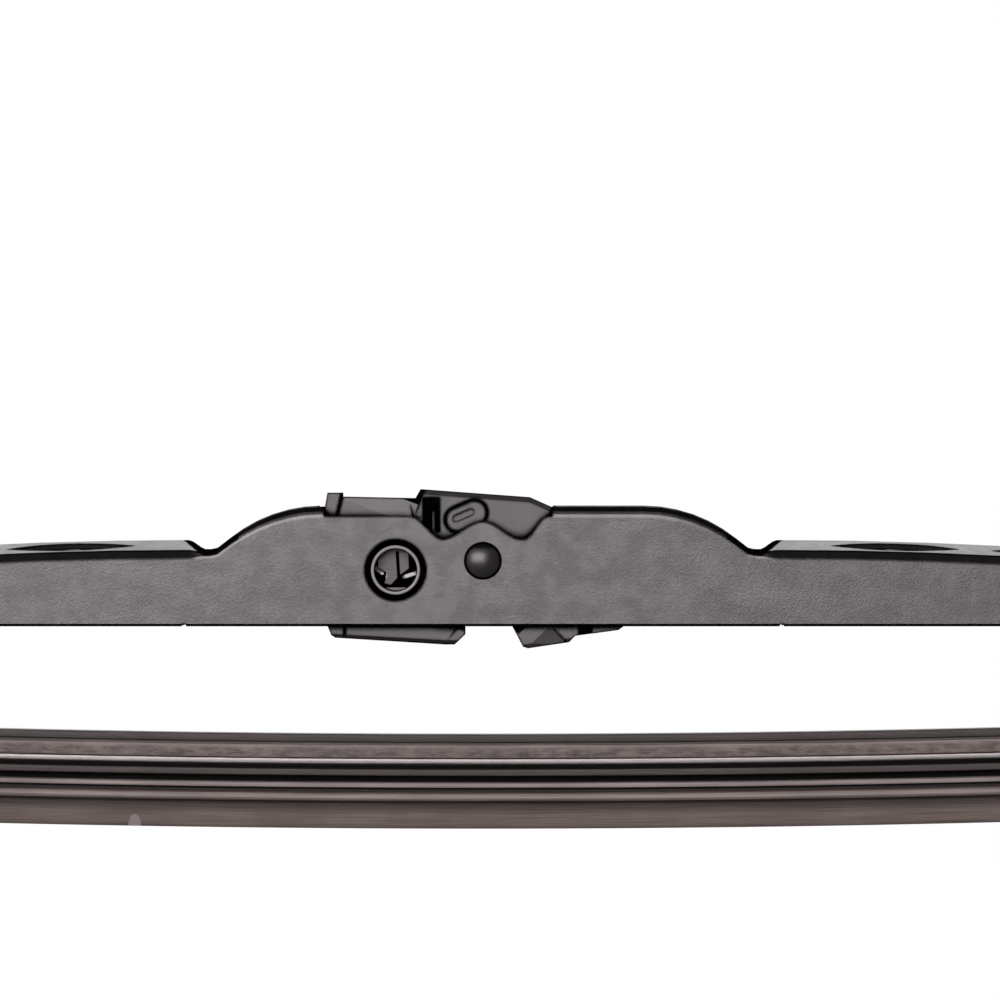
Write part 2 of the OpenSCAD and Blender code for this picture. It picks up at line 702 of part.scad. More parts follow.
module liner(x) {
    out_y = claw_in_y - seat;
    top = slack + liner_t;
    foot = claw_top_depth - seat;
    bevel = 0.75 * (yoke_bend_r - yoke_t);
    color(plastic) at_strip(x) translate([-claw_zone, 0, 0]) rotate([90, 0, 90])
        linear_extrude(claw_l) difference() {
            polygon([[-out_y, -foot], [out_y, -foot], [out_y, top - bevel], [out_y - bevel, top],
                [bevel - out_y, top], [-out_y, top - bevel]]);
            translate([liner_t - out_y, -foot - 1])
                square([2 * (out_y - liner_t), foot + 1 + slack]);
        }
}

// Strip

strip_xs = spread(-strip_l / 2, strip_l / 2, 26);

// Section of the rubber, from its top down: depth and half width of each edge
rail_core_y = rail_apart / 2 - seat;
heel_y = 3.0;
block_y = 3.9;
bar_y = 3.3;
rib_y = 2.7;
lip_z = 14.8;
rubber_levels = [
    [0, heel_y - 0.3], [0.25, heel_y], [1.2, heel_y],
    [1.25, 2.2], [1.6, 2.2],
    [1.65, block_y - 0.3], [1.85, block_y], [block_foot - 0.3, block_y], [block_foot, block_y - 0.3],
    [block_foot + 0.01, rail_core_y], [5.4, rail_core_y],
    [5.42, bar_y - 0.2], [5.6, bar_y], [6.3, bar_y], [6.5, bar_y - 0.2],
    [6.52, 1.5], [7.62, 1.5],
    [7.65, rib_y - 0.15], [7.8, rib_y], [8.2, rib_y], [8.35, rib_y - 0.15],
    [8.37, 0.55], [9.03, 0.55],
    [9.05, 1.5], [9.3, 2.4], [10.0, 2.6], [10.45, 2.3],
    [10.5, 1.1], [10.9, 0.95], [lip_z - 0.15, 0.42], [lip_z, 0.36]];

module rubber_element() {
    color(rubber) bar(strip_xs, rubber_levels);
}

module rail() {
    top = block_foot + seat;
    color(steel) translate([0, rail_apart / 2 + rail_w / 2, 0])
        bar(strip_xs, [[top, rail_w / 2], [top + rail_t, rail_w / 2]]);
}

module end_clip() {
    x = strip_l / 2 - 1 - clip_l / 2;
    in_y = rail_out_y + slack;
    out_y = in_y + clip_t;
    foot = claw_top_depth + clip_t;
    color(steel) at_strip(x) translate([-clip_l / 2, 0, 0]) rotate([90, 0, 90])
        linear_extrude(clip_l) difference() {
            translate([-out_y, -foot]) square([2 * out_y, foot + slack + clip_t]);
            translate([-in_y, -claw_top_depth]) square([2 * in_y, claw_top_depth + slack]);
            translate([-2.4, -foot - 1]) square([4.8, 2]);
        }
}

module on_left() {
    mirror([1, 0, 0]) children();
}

main_bridge();
centre_rivet();
connector_body();
connector_latch();
side_pin_clip();
on_left() yoke();  // left_yoke
yoke();  // right_yoke
on_left() yoke_bearing();  // left_yoke_bearing
yoke_bearing();  // right_yoke_bearing
on_left() yoke_rivet();  // left_yoke_rivet
yoke_rivet();  // right_yoke_rivet
on_left() liner(inner_claw_x);  // left_inner_liner
on_left() liner(outer_claw_x);  // left_outer_liner
liner(inner_claw_x);  // right_inner_liner
liner(outer_claw_x);  // right_outer_liner
rubber_element();
mirror([0, 1, 0]) rail();  // front_rail
rail();  // rear_rail
on_left() end_clip();  // left_end_clip
end_clip();  // right_end_clip
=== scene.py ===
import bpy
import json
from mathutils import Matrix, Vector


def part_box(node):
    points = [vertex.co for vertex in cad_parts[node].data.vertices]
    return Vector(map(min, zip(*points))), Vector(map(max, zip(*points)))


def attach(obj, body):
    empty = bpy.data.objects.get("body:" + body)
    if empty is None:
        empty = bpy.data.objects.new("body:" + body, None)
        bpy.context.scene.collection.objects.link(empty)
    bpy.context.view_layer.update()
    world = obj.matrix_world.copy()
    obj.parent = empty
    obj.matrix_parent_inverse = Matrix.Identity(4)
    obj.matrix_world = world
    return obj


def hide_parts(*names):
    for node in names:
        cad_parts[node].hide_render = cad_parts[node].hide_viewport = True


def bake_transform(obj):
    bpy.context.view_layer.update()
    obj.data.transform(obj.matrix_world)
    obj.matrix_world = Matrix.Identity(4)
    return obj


bl_info = {
    "name": "Wiper Blade Finish",
    "version": (1, 0, 0),
    "blender": (4, 5, 0),
    "location": "3D View > Sidebar > Wiper Blade",
    "description": "Paint, plastic, steel, a flexible rubber strip and a studio for a frame wiper blade",
    "category": "Object",
}

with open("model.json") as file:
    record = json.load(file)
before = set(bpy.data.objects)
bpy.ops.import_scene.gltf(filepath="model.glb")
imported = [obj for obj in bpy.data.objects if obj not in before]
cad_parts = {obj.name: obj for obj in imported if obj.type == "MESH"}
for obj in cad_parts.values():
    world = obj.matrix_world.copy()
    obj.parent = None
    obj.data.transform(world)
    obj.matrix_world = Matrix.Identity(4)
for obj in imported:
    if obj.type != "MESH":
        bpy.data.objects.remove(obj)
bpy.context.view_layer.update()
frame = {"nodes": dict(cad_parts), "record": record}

import json
import math

import bmesh
import bpy
from bpy.props import FloatProperty, FloatVectorProperty, IntProperty, PointerProperty
from mathutils import Vector

MM = 0.001
NODES = frame["nodes"]
MOUNTS = {mount["name"]: mount for mount in frame["record"]["mounts"]}
BORE_X, BORE_Z = MOUNTS["side_pin_bore"]["pos_m"][::2]


# Node tree helpers

class Tree:
    """A node tree that is written from left to right, with its inputs set by name, number or link."""

    def __init__(self, tree):
        self.tree = tree

    def feed(self, socket, value):
        """Sets a socket from another node's output or from a plain value."""
        if isinstance(value, bpy.types.NodeSocket):
            self.tree.links.new(value, socket)
        else:
            socket.default_value = value

    def feed_named(self, node, **values):
        """Sets a node's inputs by name. Underscores in the names stand for spaces."""
        for key, value in values.items():
            self.feed(node.inputs[key.replace("_", " ")], value)

    def add(self, kind, values=None, **options):
        """Adds a node. values holds its inputs, each a plain value or another node's output."""
        node = self.tree.nodes.new(kind)
        for name, value in options.items():
            setattr(node, name, value)
        for key, value in (values or {}).items():
            self.feed(node.inputs[key], value)
        return node

    def group(self, name, **values):
        """The outputs of a placed copy of a shared shader group."""
        node = self.add("ShaderNodeGroup", node_tree=bpy.data.node_groups[name])
        self.feed_named(node, **values)
        return node.outputs

    def math(self, operation, *values, clamp=False):
        """One number out of one, two or three."""
        return self.add("ShaderNodeMath", dict(enumerate(values)), operation=operation,
                        use_clamp=clamp).outputs[0]

    def vector(self, operation, *values):
        """One vector out of one or two."""
        return self.add("ShaderNodeVectorMath", dict(enumerate(values)), operation=operation).outputs[0]

    def measure(self, operation, a, b):
        """One number out of two vectors."""
        return self.add("ShaderNodeVectorMath", {0: a, 1: b}, operation=operation).outputs["Value"]

    def parts(self, vector):
        """The three numbers of a vector."""
        return self.add("ShaderNodeSeparateXYZ", {0: vector}).outputs

    def joined(self, x=0.0, y=0.0, z=0.0):
        """A vector out of three numbers."""
        return self.add("ShaderNodeCombineXYZ", {0: x, 1: y, 2: z}).outputs[0]

    def place(self):
        """The place on the object, in metres."""
        return self.add("ShaderNodeTexCoord").outputs["Object"]

    def faces(self):
        """The direction that the surface looks in."""
        return self.add("ShaderNodeNewGeometry").outputs["Normal"]

    def turn(self, radius, samples):
        """1 on an open face, and less where the surface turns within radius."""
        soft = self.add("ShaderNodeBevel", {"Radius": radius}, samples=samples).outputs[0]
        return self.measure("DOT_PRODUCT", soft, self.faces())

    def noise(self, vector, scale, detail, roughness=0.5):
        """Noise with scale waves to each unit of vector."""
        return self.add("ShaderNodeTexNoise", {
            "Vector": vector, "Scale": scale, "Detail": detail, "Roughness": roughness}).outputs[0]

    def noise_sized(self, size, detail, roughness):
        """Noise on the object whose waves are size wide."""
        return self.noise(self.place(), self.math("DIVIDE", 1.0, size), detail, roughness)

    def ramp(self, value, low, high, to_low=0.0, to_high=1.0):
        """value from low to high, made a number from to_low to to_high, smooth at both ends."""
        node = self.add("ShaderNodeMapRange", {0: value, 1: low, 2: high, 3: to_low, 4: to_high},
                        interpolation_type="SMOOTHSTEP")
        return node.outputs[0]

    def mix(self, share, a, b, blend="MIX"):
        """Colour a turning to colour b by share. Each colour is an output, a grey or an RGB colour."""
        node = self.add("ShaderNodeMix", {0: share}, data_type="RGBA", blend_type=blend)
        for socket, value in ((node.inputs[6], a), (node.inputs[7], b)):
            self.feed(socket, value if isinstance(value, bpy.types.NodeSocket) else rgba(value))
        return node.outputs[2]

    def stops(self, value, stops):
        """A colour ramp. stops holds (place, grey or colour)."""
        node = self.add("ShaderNodeValToRGB", {0: value})
        ramp = node.color_ramp
        while len(ramp.elements) < len(stops):
            ramp.elements.new(0.5)
        for element, (place, tone) in zip(ramp.elements, stops):
            element.position = place
            element.color = rgba(tone)
        return node.outputs[0]


def rgba(tone):
    """A grey or an RGB colour as four numbers."""
    if isinstance(tone, (int, float)):
        return (tone, tone, tone, 1.0)
    return tuple(tone)[:3] + (1.0,)


def empty_tree(owner):
    """The Tree of a material or a world, with nothing in it yet."""
    owner.use_nodes = True
    owner.node_tree.nodes.clear()
    return Tree(owner.node_tree)


def add_object(name, data):
    """A new object in the scene, at the origin."""
    new = bpy.data.objects.new(name, data)
    bpy.context.scene.collection.objects.link(new)
    return new


def add_inputs(group, inputs):
    """Named inputs of a node group. Each starts from a number or a tuple, or has only its kind in words."""
    for label, value in inputs.items():
        kind = value if isinstance(value, str) else "Vector" if isinstance(value, tuple) else "Float"
        socket = group.interface.new_socket(label, in_out="INPUT", socket_type="NodeSocket" + kind)
        if kind != value:
            socket.default_value = value


def new_group(name, inputs, outputs):
    """A shader node group that puts out numbers: its Tree, its inputs and its outputs by name."""
    group = bpy.data.node_groups.new(name, "ShaderNodeTree")
    add_inputs(group, inputs)
    for label in outputs:
        group.interface.new_socket(label, in_out="OUTPUT", socket_type="NodeSocketFloat")
    tree = Tree(group)
    return tree, tree.add("NodeGroupInput").outputs, tree.add("NodeGroupOutput").inputs


def new_shape_group(name, inputs):
    """A geometry node group: its Tree and its inputs by name."""
    group = bpy.data.node_groups.new(name, "GeometryNodeTree")
    add_inputs(group, {"Geometry": "Geometry", **inputs})
    group.interface.new_socket("Geometry", in_out="OUTPUT", socket_type="NodeSocketGeometry")
    tree = Tree(group)
    return tree, tree.add("NodeGroupInput").outputs


def end_shape_group(tree, shape, material):
    """Ends a geometry node group with real faces in one material."""
    real = tree.add("GeometryNodeRealizeInstances", {"Geometry": shape}).outputs[0]
    done = tree.add("GeometryNodeSetMaterial", {"Geometry": real, "Material": material}).outputs[0]
    tree.feed(tree.add("NodeGroupOutput").inputs[0], done)


# Shared effects

# Parts of a noise that become a mask from 0 to 1: the nearer together, the harder the patches
SOFTEST = (0.25, 0.75)
SOFT = (0.3, 0.7)
CLOUDY = (0.32, 0.68)
PATCHY = (0.35, 0.65)

# Where the painted shade starts and where it is full: how much of a gap is open, how far an edge turns, and
# how far a bend looks up, from below and from above
GAP_OPEN = (0.8, 0.62)
EDGE_TURN = (0.998, 0.965)
BEND_FROM = (0.4, 0.58)
BEND_TO = (0.945, 0.9)

# Tone clouds of the grain, and patches of the streaks, in waves to one fine wave
CLOUD_WAVES = 0.06
PATCH_WAVES = (0.9, 0.16, 0.16)

# Painted shade in the valleys beside the hump, in mm from the blade's middle: it starts at VALLEY_START and
# fades before the end of the shoulder, which leans outwards by VALLEY_LEAN of its height
VALLEY_START = 38.0
VALLEY_FADE = (42.7, 42.4)
VALLEY_LEAN = 1.316

# The slot in the connector's bean-shaped boss: its middle in mm, and the directions along and across it
SLOT_MIDDLE = (-3.05, 0.0, 7.1)
SLOT_ALONG = (0.917, 0.0, 0.399)
SLOT_ACROSS = (-0.399, 0.0, 0.917)


def make_orange_peel():
    """The fine waves and soft mottling of sprayed or dipped paint."""
    tree, start, end = new_group("orange_peel", {"Wave Size": 0.5 * MM, "Mottle Size": 4 * MM},
                                 ["Height", "Mottle"])
    tree.feed(end["Height"], tree.noise_sized(start["Wave Size"], detail=2.0, roughness=0.55))
    mottle = tree.noise_sized(start["Mottle Size"], detail=4.0, roughness=0.6)
    tree.feed(end["Mottle"], tree.ramp(mottle, *SOFT))


def make_grain():
    """The fine matt grain of a moulded surface."""
    tree, start, end = new_group("grain", {"Grain Size": 0.2 * MM}, ["Height", "Tone"])
    place = tree.place()
    scale = tree.math("DIVIDE", 1.0, start["Grain Size"])
    tree.feed(end["Height"], tree.noise(place, scale, detail=3.0))
    clouds = tree.noise(place, tree.math("MULTIPLY", scale, CLOUD_WAVES), detail=3.0)
    tree.feed(end["Tone"], tree.ramp(clouds, *CLOUDY))


def make_edge_wear():
    """Where handling has thinned or polished the finish: a mask along outer edges, broken up by noise."""
    tree, start, end = new_group(
        "edge_wear", {"Radius": 0.25 * MM, "Spread": 0.3, "Break Up Size": 1.2 * MM}, ["Mask"])
    turned = tree.math("SUBTRACT", 1.0, tree.turn(start["Radius"], samples=4))
    edge = tree.ramp(turned, low=0.01, high=start["Spread"])
    noise = tree.noise_sized(start["Break Up Size"], detail=5.0, roughness=0.65)
    tree.feed(end["Mask"], tree.math("MULTIPLY", edge, tree.ramp(noise, *PATCHY), clamp=True))


def make_painted_shade():
    """Painted shade: a mask for where the finish is made dull and dark, in narrow gaps and corners, on a
    thin line along each edge, on bends that look up, and on what lies nearer to the blade's middle plane
    than Depth."""
    tree, start, end = new_group(
        "grime", {"Gap Width": 3 * MM, "Line Width": 0.6 * MM, "Depth": 0.0, "Bends": 0.85}, ["Mask"])
    around = tree.add("ShaderNodeAmbientOcclusion", {"Distance": start["Gap Width"]}, samples=12)
    gaps = tree.ramp(around.outputs["AO"], *GAP_OPEN)
    inside = tree.math("LESS_THAN", tree.math("ABSOLUTE", tree.parts(tree.place())[1]), start["Depth"])
    lines = tree.ramp(tree.turn(start["Line Width"], samples=6), *EDGE_TURN)
    looks_up = tree.parts(tree.faces())[2]
    bend = tree.math("MULTIPLY", tree.ramp(looks_up, *BEND_FROM), tree.ramp(looks_up, *BEND_TO))
    bend = tree.math("MULTIPLY", bend, start["Bends"])
    dark = tree.math("MAXIMUM", tree.math("MAXIMUM", gaps, lines), tree.math("MAXIMUM", inside, bend))
    tree.feed(end["Mask"], dark)


def make_streaks():
    """Long fine lines along the blade, as drawing, rolling or wiping leaves them."""
    tree, start, end = new_group(
        "streaks", {"Vector": (0.0, 0.0, 0.0), "Line Width": 0.1 * MM, "Line Length": 20 * MM},
        ["Lines", "Patches"])
    across = tree.math("DIVIDE", 1.0, start["Line Width"])
    along = tree.math("DIVIDE", 1.0, start["Line Length"])
    fine = tree.vector("MULTIPLY", start["Vector"], tree.joined(along, across, across))
    wide = tree.vector("MULTIPLY", fine, PATCH_WAVES)
    lines = tree.noise(fine, scale=1.0, detail=4.0, roughness=0.6)
    patches = tree.noise(wide, scale=1.0, detail=4.0, roughness=0.7)
    tree.feed(end["Lines"], tree.ramp(lines, *SOFTEST))
    tree.feed(end["Patches"], tree.ramp(patches, *PATCHY))


def make_dust():
    """A thin film that gathers on surfaces that look up."""
    tree, start, end = new_group("dust", {"Amount": 0.2, "Patch Size": 3 * MM}, ["Mask"])
    lies = tree.ramp(tree.parts(tree.faces())[2], low=0.2, high=0.9)
    patches = tree.noise_sized(start["Patch Size"], detail=6.0, roughness=0.7)
    patches = tree.ramp(patches, low=0.35, high=0.7)
    tree.feed(end["Mask"], tree.math("MULTIPLY", tree.math("MULTIPLY", lies, patches), start["Amount"]))


def make_bridge_painted_shade():
    """Painted shade that only the bridge has: a dark line along its lower hem and round the centre rivet,
    and dark valleys beside the hump. Lengths are in millimetres."""
    tree, start, end = new_group(
        "bridge_marks",
        {"Belly": -10.2, "Level Half Length": 84.0, "Fall": 0.00106, "Hem": 0.4, "Rivet Radius": 2.72,
         "Seam": 0.24}, ["Mask"])
    place = tree.parts(tree.vector("MULTIPLY", tree.place(), (1 / MM,) * 3))
    away = tree.math("ABSOLUTE", place[0])
    past = tree.math("MAXIMUM", tree.math("SUBTRACT", away, start["Level Half Length"]), 0.0)
    drop = tree.math("MULTIPLY", tree.math("MULTIPLY", past, past), start["Fall"])
    above = tree.math("SUBTRACT", tree.math("ADD", place[2], drop), start["Belly"])
    hem = tree.math("LESS_THAN", above, start["Hem"])
    square = tree.math("ADD", tree.math("MULTIPLY", place[0], place[0]),
                       tree.math("MULTIPLY", place[2], place[2]))
    gap = tree.math("SUBTRACT", tree.math("SQRT", square), start["Rivet Radius"])
    seam = tree.math("LESS_THAN", tree.math("ABSOLUTE", gap), start["Seam"])
    looks_up = tree.ramp(tree.parts(tree.faces())[2], low=0.2, high=0.4)
    slant = tree.math("SUBTRACT", away, tree.math("MULTIPLY", place[2], VALLEY_LEAN))
    valley = tree.math("MULTIPLY", tree.math("GREATER_THAN", away, VALLEY_START),
                       tree.ramp(slant, *VALLEY_FADE))
    valley = tree.math("MULTIPLY", valley, looks_up)
    tree.feed(end["Mask"], tree.math("MAXIMUM", tree.math("MAXIMUM", hem, seam), valley))


def make_connector_painted_shade():
    """Painted shade in a band round the side-pin bore, and the floor of the slot in the bean-shaped boss,
    which the painted shade leaves pale. Lengths are in millimetres."""
    tree, start, end = new_group(
        "connector_marks",
        {"Band Start": 4.05, "Band End": 6.4, "Floor Half Length": 1.25, "Floor Half Width": 0.42},
        ["Band", "Floor"])
    place = tree.vector("MULTIPLY", tree.place(), (1 / MM, 0, 1 / MM))
    away = tree.measure("DISTANCE", place, (BORE_X / MM, 0, BORE_Z / MM))
    band = tree.math("MULTIPLY", tree.math("GREATER_THAN", away, start["Band Start"]),
                     tree.math("LESS_THAN", away, start["Band End"]))
    tree.feed(end["Band"], band)
    from_slot = tree.vector("SUBTRACT", place, SLOT_MIDDLE)
    along = tree.measure("DOT_PRODUCT", from_slot, SLOT_ALONG)
    across = tree.measure("DOT_PRODUCT", from_slot, SLOT_ACROSS)
    past = tree.math("SUBTRACT", tree.math("ABSOLUTE", along), start["Floor Half Length"])
    past = tree.math("MAXIMUM", past, 0.0)
    square = tree.math("ADD", tree.math("MULTIPLY", past, past), tree.math("MULTIPLY", across, across))
    tree.feed(end["Floor"], tree.math("LESS_THAN", tree.math("SQRT", square), start["Floor Half Width"]))


# Materials

ENAMEL_DUST = (0.12, 0.11, 0.11)
PLASTIC_DUST = (0.2, 0.19, 0.185)
# The tone of the painted highlight on the bore's rim
RIM_HIGHLIGHT_TONE = 0.38
SPOT_COLOUR = (0.34, 0.285, 0.295)

# Painted highlights on the side pin clip's tips: the middle between them, half their height, how far from
# that middle they start, and their tone
TIP_HIGHLIGHT_MIDDLE = (BORE_X, 0.0, -2.3 * MM)
TIP_HIGHLIGHT_HALF_HEIGHT = 0.42 * MM
TIP_HIGHLIGHT_START = 1.4 * MM
TIP_HIGHLIGHT_TONE = 0.42

# Depths on the rubber's block, in mm, between which its scuffs come in and go out
SCUFFS_IN = (1.6, 2.0)
SCUFFS_OUT = (3.8, 3.5)

# Bands of the rubber whose factor is above this have a shine
SHINE_FROM = 0.29


def new_material(name, roughness, specular=0.5, metallic=0.0, coat=0.0, coat_roughness=0.2, coat_ior=1.5):
    """An empty material: its Tree and its Principled shader, whose constants stand on its sockets."""
    tree = empty_tree(bpy.data.materials.new(name))
    out = tree.add("ShaderNodeOutputMaterial")
    shader = tree.add("ShaderNodeBsdfPrincipled", {
        "Roughness": roughness, "IOR": 1.5, "Specular IOR Level": specular, "Metallic": metallic,
        "Coat Weight": coat, "Coat Roughness": coat_roughness, "Coat IOR": coat_ior})
    tree.feed(out.inputs[0], shader.outputs[0])
    return tree, shader


def bump(tree, shader, height, depth, rounding=0.0):
    """Raises the surface by height times depth, in metres, and turns it over its edges within rounding."""
    node = tree.add("ShaderNodeBump", {"Strength": 1.0, "Distance": depth, "Height": height})
    if rounding:
        over = tree.add("ShaderNodeBevel", {"Radius": rounding}, samples=6).outputs[0]
        tree.feed(node.inputs["Normal"], over)
    tree.feed_named(shader, Normal=node.outputs[0], Coat_Normal=node.outputs[0])


def make_paint(name, finish, coat_roughness, painted_shade_marks=False):
    """Satin black enamel on pressed steel, made dark and dull by painted shade. marks adds the painted shade
    that only the bridge has.
    """
    tree, shader = new_material(name, finish.roughness, specular=0.0, coat=1.0,
                                coat_roughness=coat_roughness, coat_ior=2.12)
    peel = tree.group("orange_peel", Wave_Size=finish.peel_size, Mottle_Size=3.2 * MM)
    specks = tree.group("grain", Grain_Size=0.2 * MM)["Tone"]
    dust = tree.group("dust", Amount=0.12)["Mask"]
    grime = tree.group("grime")["Mask"]
    if painted_shade_marks:
        grime = tree.math("MAXIMUM", grime, tree.group("bridge_marks")["Mask"])
    base = Vector(finish.colour)
    colour = tree.mix(peel["Mottle"], base * 0.8, base * 1.2)
    colour = tree.mix(dust, colour, ENAMEL_DUST)
    # Painted shade: near black colour and no coat in gaps, along edges, on bends that look up, and on the
    # bridge's hem, rivet seam and valleys
    colour = tree.mix(grime, colour, base * 0.08)
    lacquer = tree.math("MULTIPLY", tree.math("SUBTRACT", 1.0, grime),
                        tree.ramp(peel["Mottle"], 0.0, 1.0, to_low=0.86))
    lacquer = tree.math("MULTIPLY", lacquer, tree.ramp(specks, *SOFT, to_low=0.93))
    rough = tree.math("MULTIPLY_ADD", peel["Mottle"], 0.05, finish.roughness)
    rough = tree.math("ADD", rough, tree.math("MULTIPLY", dust, 0.3))
    tree.feed_named(shader, Base_Color=colour, Roughness=rough, Coat_Weight=lacquer)
    bump(tree, shader, peel["Height"], finish.peel_depth, finish.edge)


def make_plastic(name, tint, roughness, grain_size):
    """Moulded plastic with a satin skin, made dark and dull by painted shade in gaps, along edges, in
    recesses and round the bore.
    """
    tree, shader = new_material(name, roughness, specular=0.0, coat=1.0, coat_roughness=0.4, coat_ior=2.05)
    grain = tree.group("grain", Grain_Size=grain_size)
    painted_shade_marks = tree.group("connector_marks")
    # Painted shade in gaps, along edges, on bends and on all that lies deeper than the cheek faces, with the
    # band round the bore added and the slot's floor left out
    grime = tree.group("grime", Depth=5.5 * MM, Bends=1.0)["Mask"]
    grime = tree.math("MULTIPLY", tree.math("MAXIMUM", grime, painted_shade_marks["Band"]),
                      tree.math("SUBTRACT", 1.0, painted_shade_marks["Floor"]))
    base = Vector(tint)
    colour = tree.mix(grain["Tone"], base * 0.82, base * 1.2)
    colour = tree.mix(tree.group("dust", Amount=0.15)["Mask"], colour, PLASTIC_DUST)
    colour = tree.mix(grime, colour, base * 0.06)
    rough = tree.math("MULTIPLY_ADD", grain["Tone"], 0.1, roughness - 0.05)
    skin = tree.math("SUBTRACT", 1.0, grime)
    tree.feed_named(shader, Base_Color=colour, Roughness=rough, Coat_Weight=skin)
    bump(tree, shader, grain["Height"], depth=0.012 * MM, rounding=0.16 * MM)


def make_steel(name, finish, share, tips=False):
    """Rolled spring steel, with fine lines along the blade. share darkens it, which makes a copy in painted
    shade, and tips paints highlights on the side pin clip's tips."""
    tree, shader = new_material(name, finish.steel_roughness, metallic=1.0)
    place = tree.place()
    lines = tree.group("streaks", Vector=place, Line_Width=0.06 * MM, Line_Length=9 * MM)
    wear = tree.group("edge_wear", Radius=0.15 * MM)["Mask"]
    base = Vector(finish.steel_colour) * share
    colour = tree.mix(lines["Lines"], base * 0.78, base * 1.12)
    colour = tree.mix(tree.math("MULTIPLY", lines["Patches"], 0.35), colour, base * 0.6)
    colour = tree.mix(tree.math("MULTIPLY", wear, 0.3), colour, base * 1.35)
    # Painted highlights: pale patches on the side pin clip's tips
    if tips:
        spot = tree.parts(tree.vector("SUBTRACT", place, TIP_HIGHLIGHT_MIDDLE))
        level = tree.math("LESS_THAN", tree.math("ABSOLUTE", spot[2]), TIP_HIGHLIGHT_HALF_HEIGHT)
        outer = tree.math("GREATER_THAN", tree.math("ABSOLUTE", spot[0]), TIP_HIGHLIGHT_START)
        colour = tree.mix(tree.math("MULTIPLY", level, outer), colour, TIP_HIGHLIGHT_TONE)
    rough = tree.math("MULTIPLY_ADD", lines["Lines"], 0.16, finish.steel_roughness - 0.06)
    tree.feed_named(shader, Base_Color=colour, Roughness=rough)
    bump(tree, shader, lines["Lines"], depth=0.006 * MM)


def make_rim_highlight(finish):
    """Pale plastic for the bead round the bore: a painted highlight on the bore's rim."""
    tree, shader = new_material("rim_highlight_plastic", 0.3, specular=0.6)
    grain = tree.group("grain", Grain_Size=0.3 * MM)
    base = Vector(finish.plastic_colour)
    colour = tree.mix(grain["Tone"], base * 9, base * 14)
    # Painted highlight: the bead is made pale
    tree.feed_named(shader, Base_Color=tree.mix(0.6, colour, RIM_HIGHLIGHT_TONE))
    bump(tree, shader, grain["Height"], depth=0.006 * MM)


def make_rubber(finish, strip):
    """Dark rubber with graphite. Its bands follow the section and hold painted light and shade as well as
    tone: v of the strip's map is the depth.
    """
    tree, shader = new_material("graphite_rubber", 0.5, specular=0.1, coat=1.0, coat_roughness=0.42)
    uv = tree.add("ShaderNodeUVMap", uv_map=STRIP_MAP).outputs[0]
    depth = tree.parts(uv)[1]
    on_strip = tree.vector("MULTIPLY", uv, (1.0, strip.height * MM, 1.0))
    fine = tree.group("streaks", Vector=on_strip, Line_Width=0.12 * MM, Line_Length=16 * MM)
    scuffs = tree.group("streaks", Vector=on_strip, Line_Width=0.15 * MM, Line_Length=2.4 * MM)
    grain = tree.group("grain", Grain_Size=0.12 * MM)
    base = Vector(finish.rubber_colour)
    # Bands by depth: tone, with painted shade in the grooves and painted highlights on the block's top edge
    # and the shoulder
    bands = tree.stops(depth, [(d / strip.height, tone) for d, tone in RUBBER_BANDS_AND_PAINTED_LIGHT])
    colour = tree.mix(1.0, base, bands, "MULTIPLY")
    colour = tree.mix(1.0, colour, tree.ramp(fine["Lines"], 0.0, 1.0, to_low=0.72, to_high=1.28), "MULTIPLY")
    block = tree.math("MULTIPLY", *(tree.ramp(depth, low / strip.height, high / strip.height)
                                    for low, high in (SCUFFS_IN, SCUFFS_OUT)))
    rubbed = tree.math("MULTIPLY", block, scuffs["Patches"])
    colour = tree.mix(tree.math("MULTIPLY", rubbed, 0.6), colour, base * 3.6)
    cloudy = tree.noise(tree.place(), scale=90.0, detail=5.0)
    colour = tree.mix(1.0, colour, tree.ramp(cloudy, *SOFT, to_low=0.9, to_high=1.1), "MULTIPLY")
    colour = tree.mix(make_spot(tree, uv, strip), colour, SPOT_COLOUR)
    rough = tree.math("MULTIPLY_ADD", fine["Lines"], 0.14, finish.rubber_roughness)
    shine = tree.stops(depth, [(d / strip.height, float(max(rgba(tone)[:3]) > SHINE_FROM))
                               for d, tone in RUBBER_BANDS_AND_PAINTED_LIGHT])
    tree.feed_named(shader, Base_Color=colour, Roughness=rough, Coat_Weight=shine)
    height = tree.math("ADD", tree.math("MULTIPLY", grain["Height"], 0.35), fine["Lines"])
    height = tree.math("ADD", height, tree.math("MULTIPLY", rubbed, 1.2))
    bump(tree, shader, height, depth=0.018 * MM)


def make_spot(tree, uv, strip):
    """The pale spot on the lip's near edge, left of the middle: a mask in the shape of half an ellipse."""
    place = tree.parts(uv)
    across = tree.math("DIVIDE", tree.math("SUBTRACT", place[0], strip.spot_x), 0.5 * strip.spot_width)
    down = tree.math("MULTIPLY", tree.math("SUBTRACT", place[1], 1.0), strip.height / strip.spot_height)
    far = tree.math("ADD", tree.math("MULTIPLY", across, across), tree.math("MULTIPLY", down, down))
    return tree.ramp(far, low=1.0, high=0.75)


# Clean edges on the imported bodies

SHARP_ANGLE = math.radians(28)
FLAT_ANGLE = math.radians(0.25)
WELD = 0.002 * MM


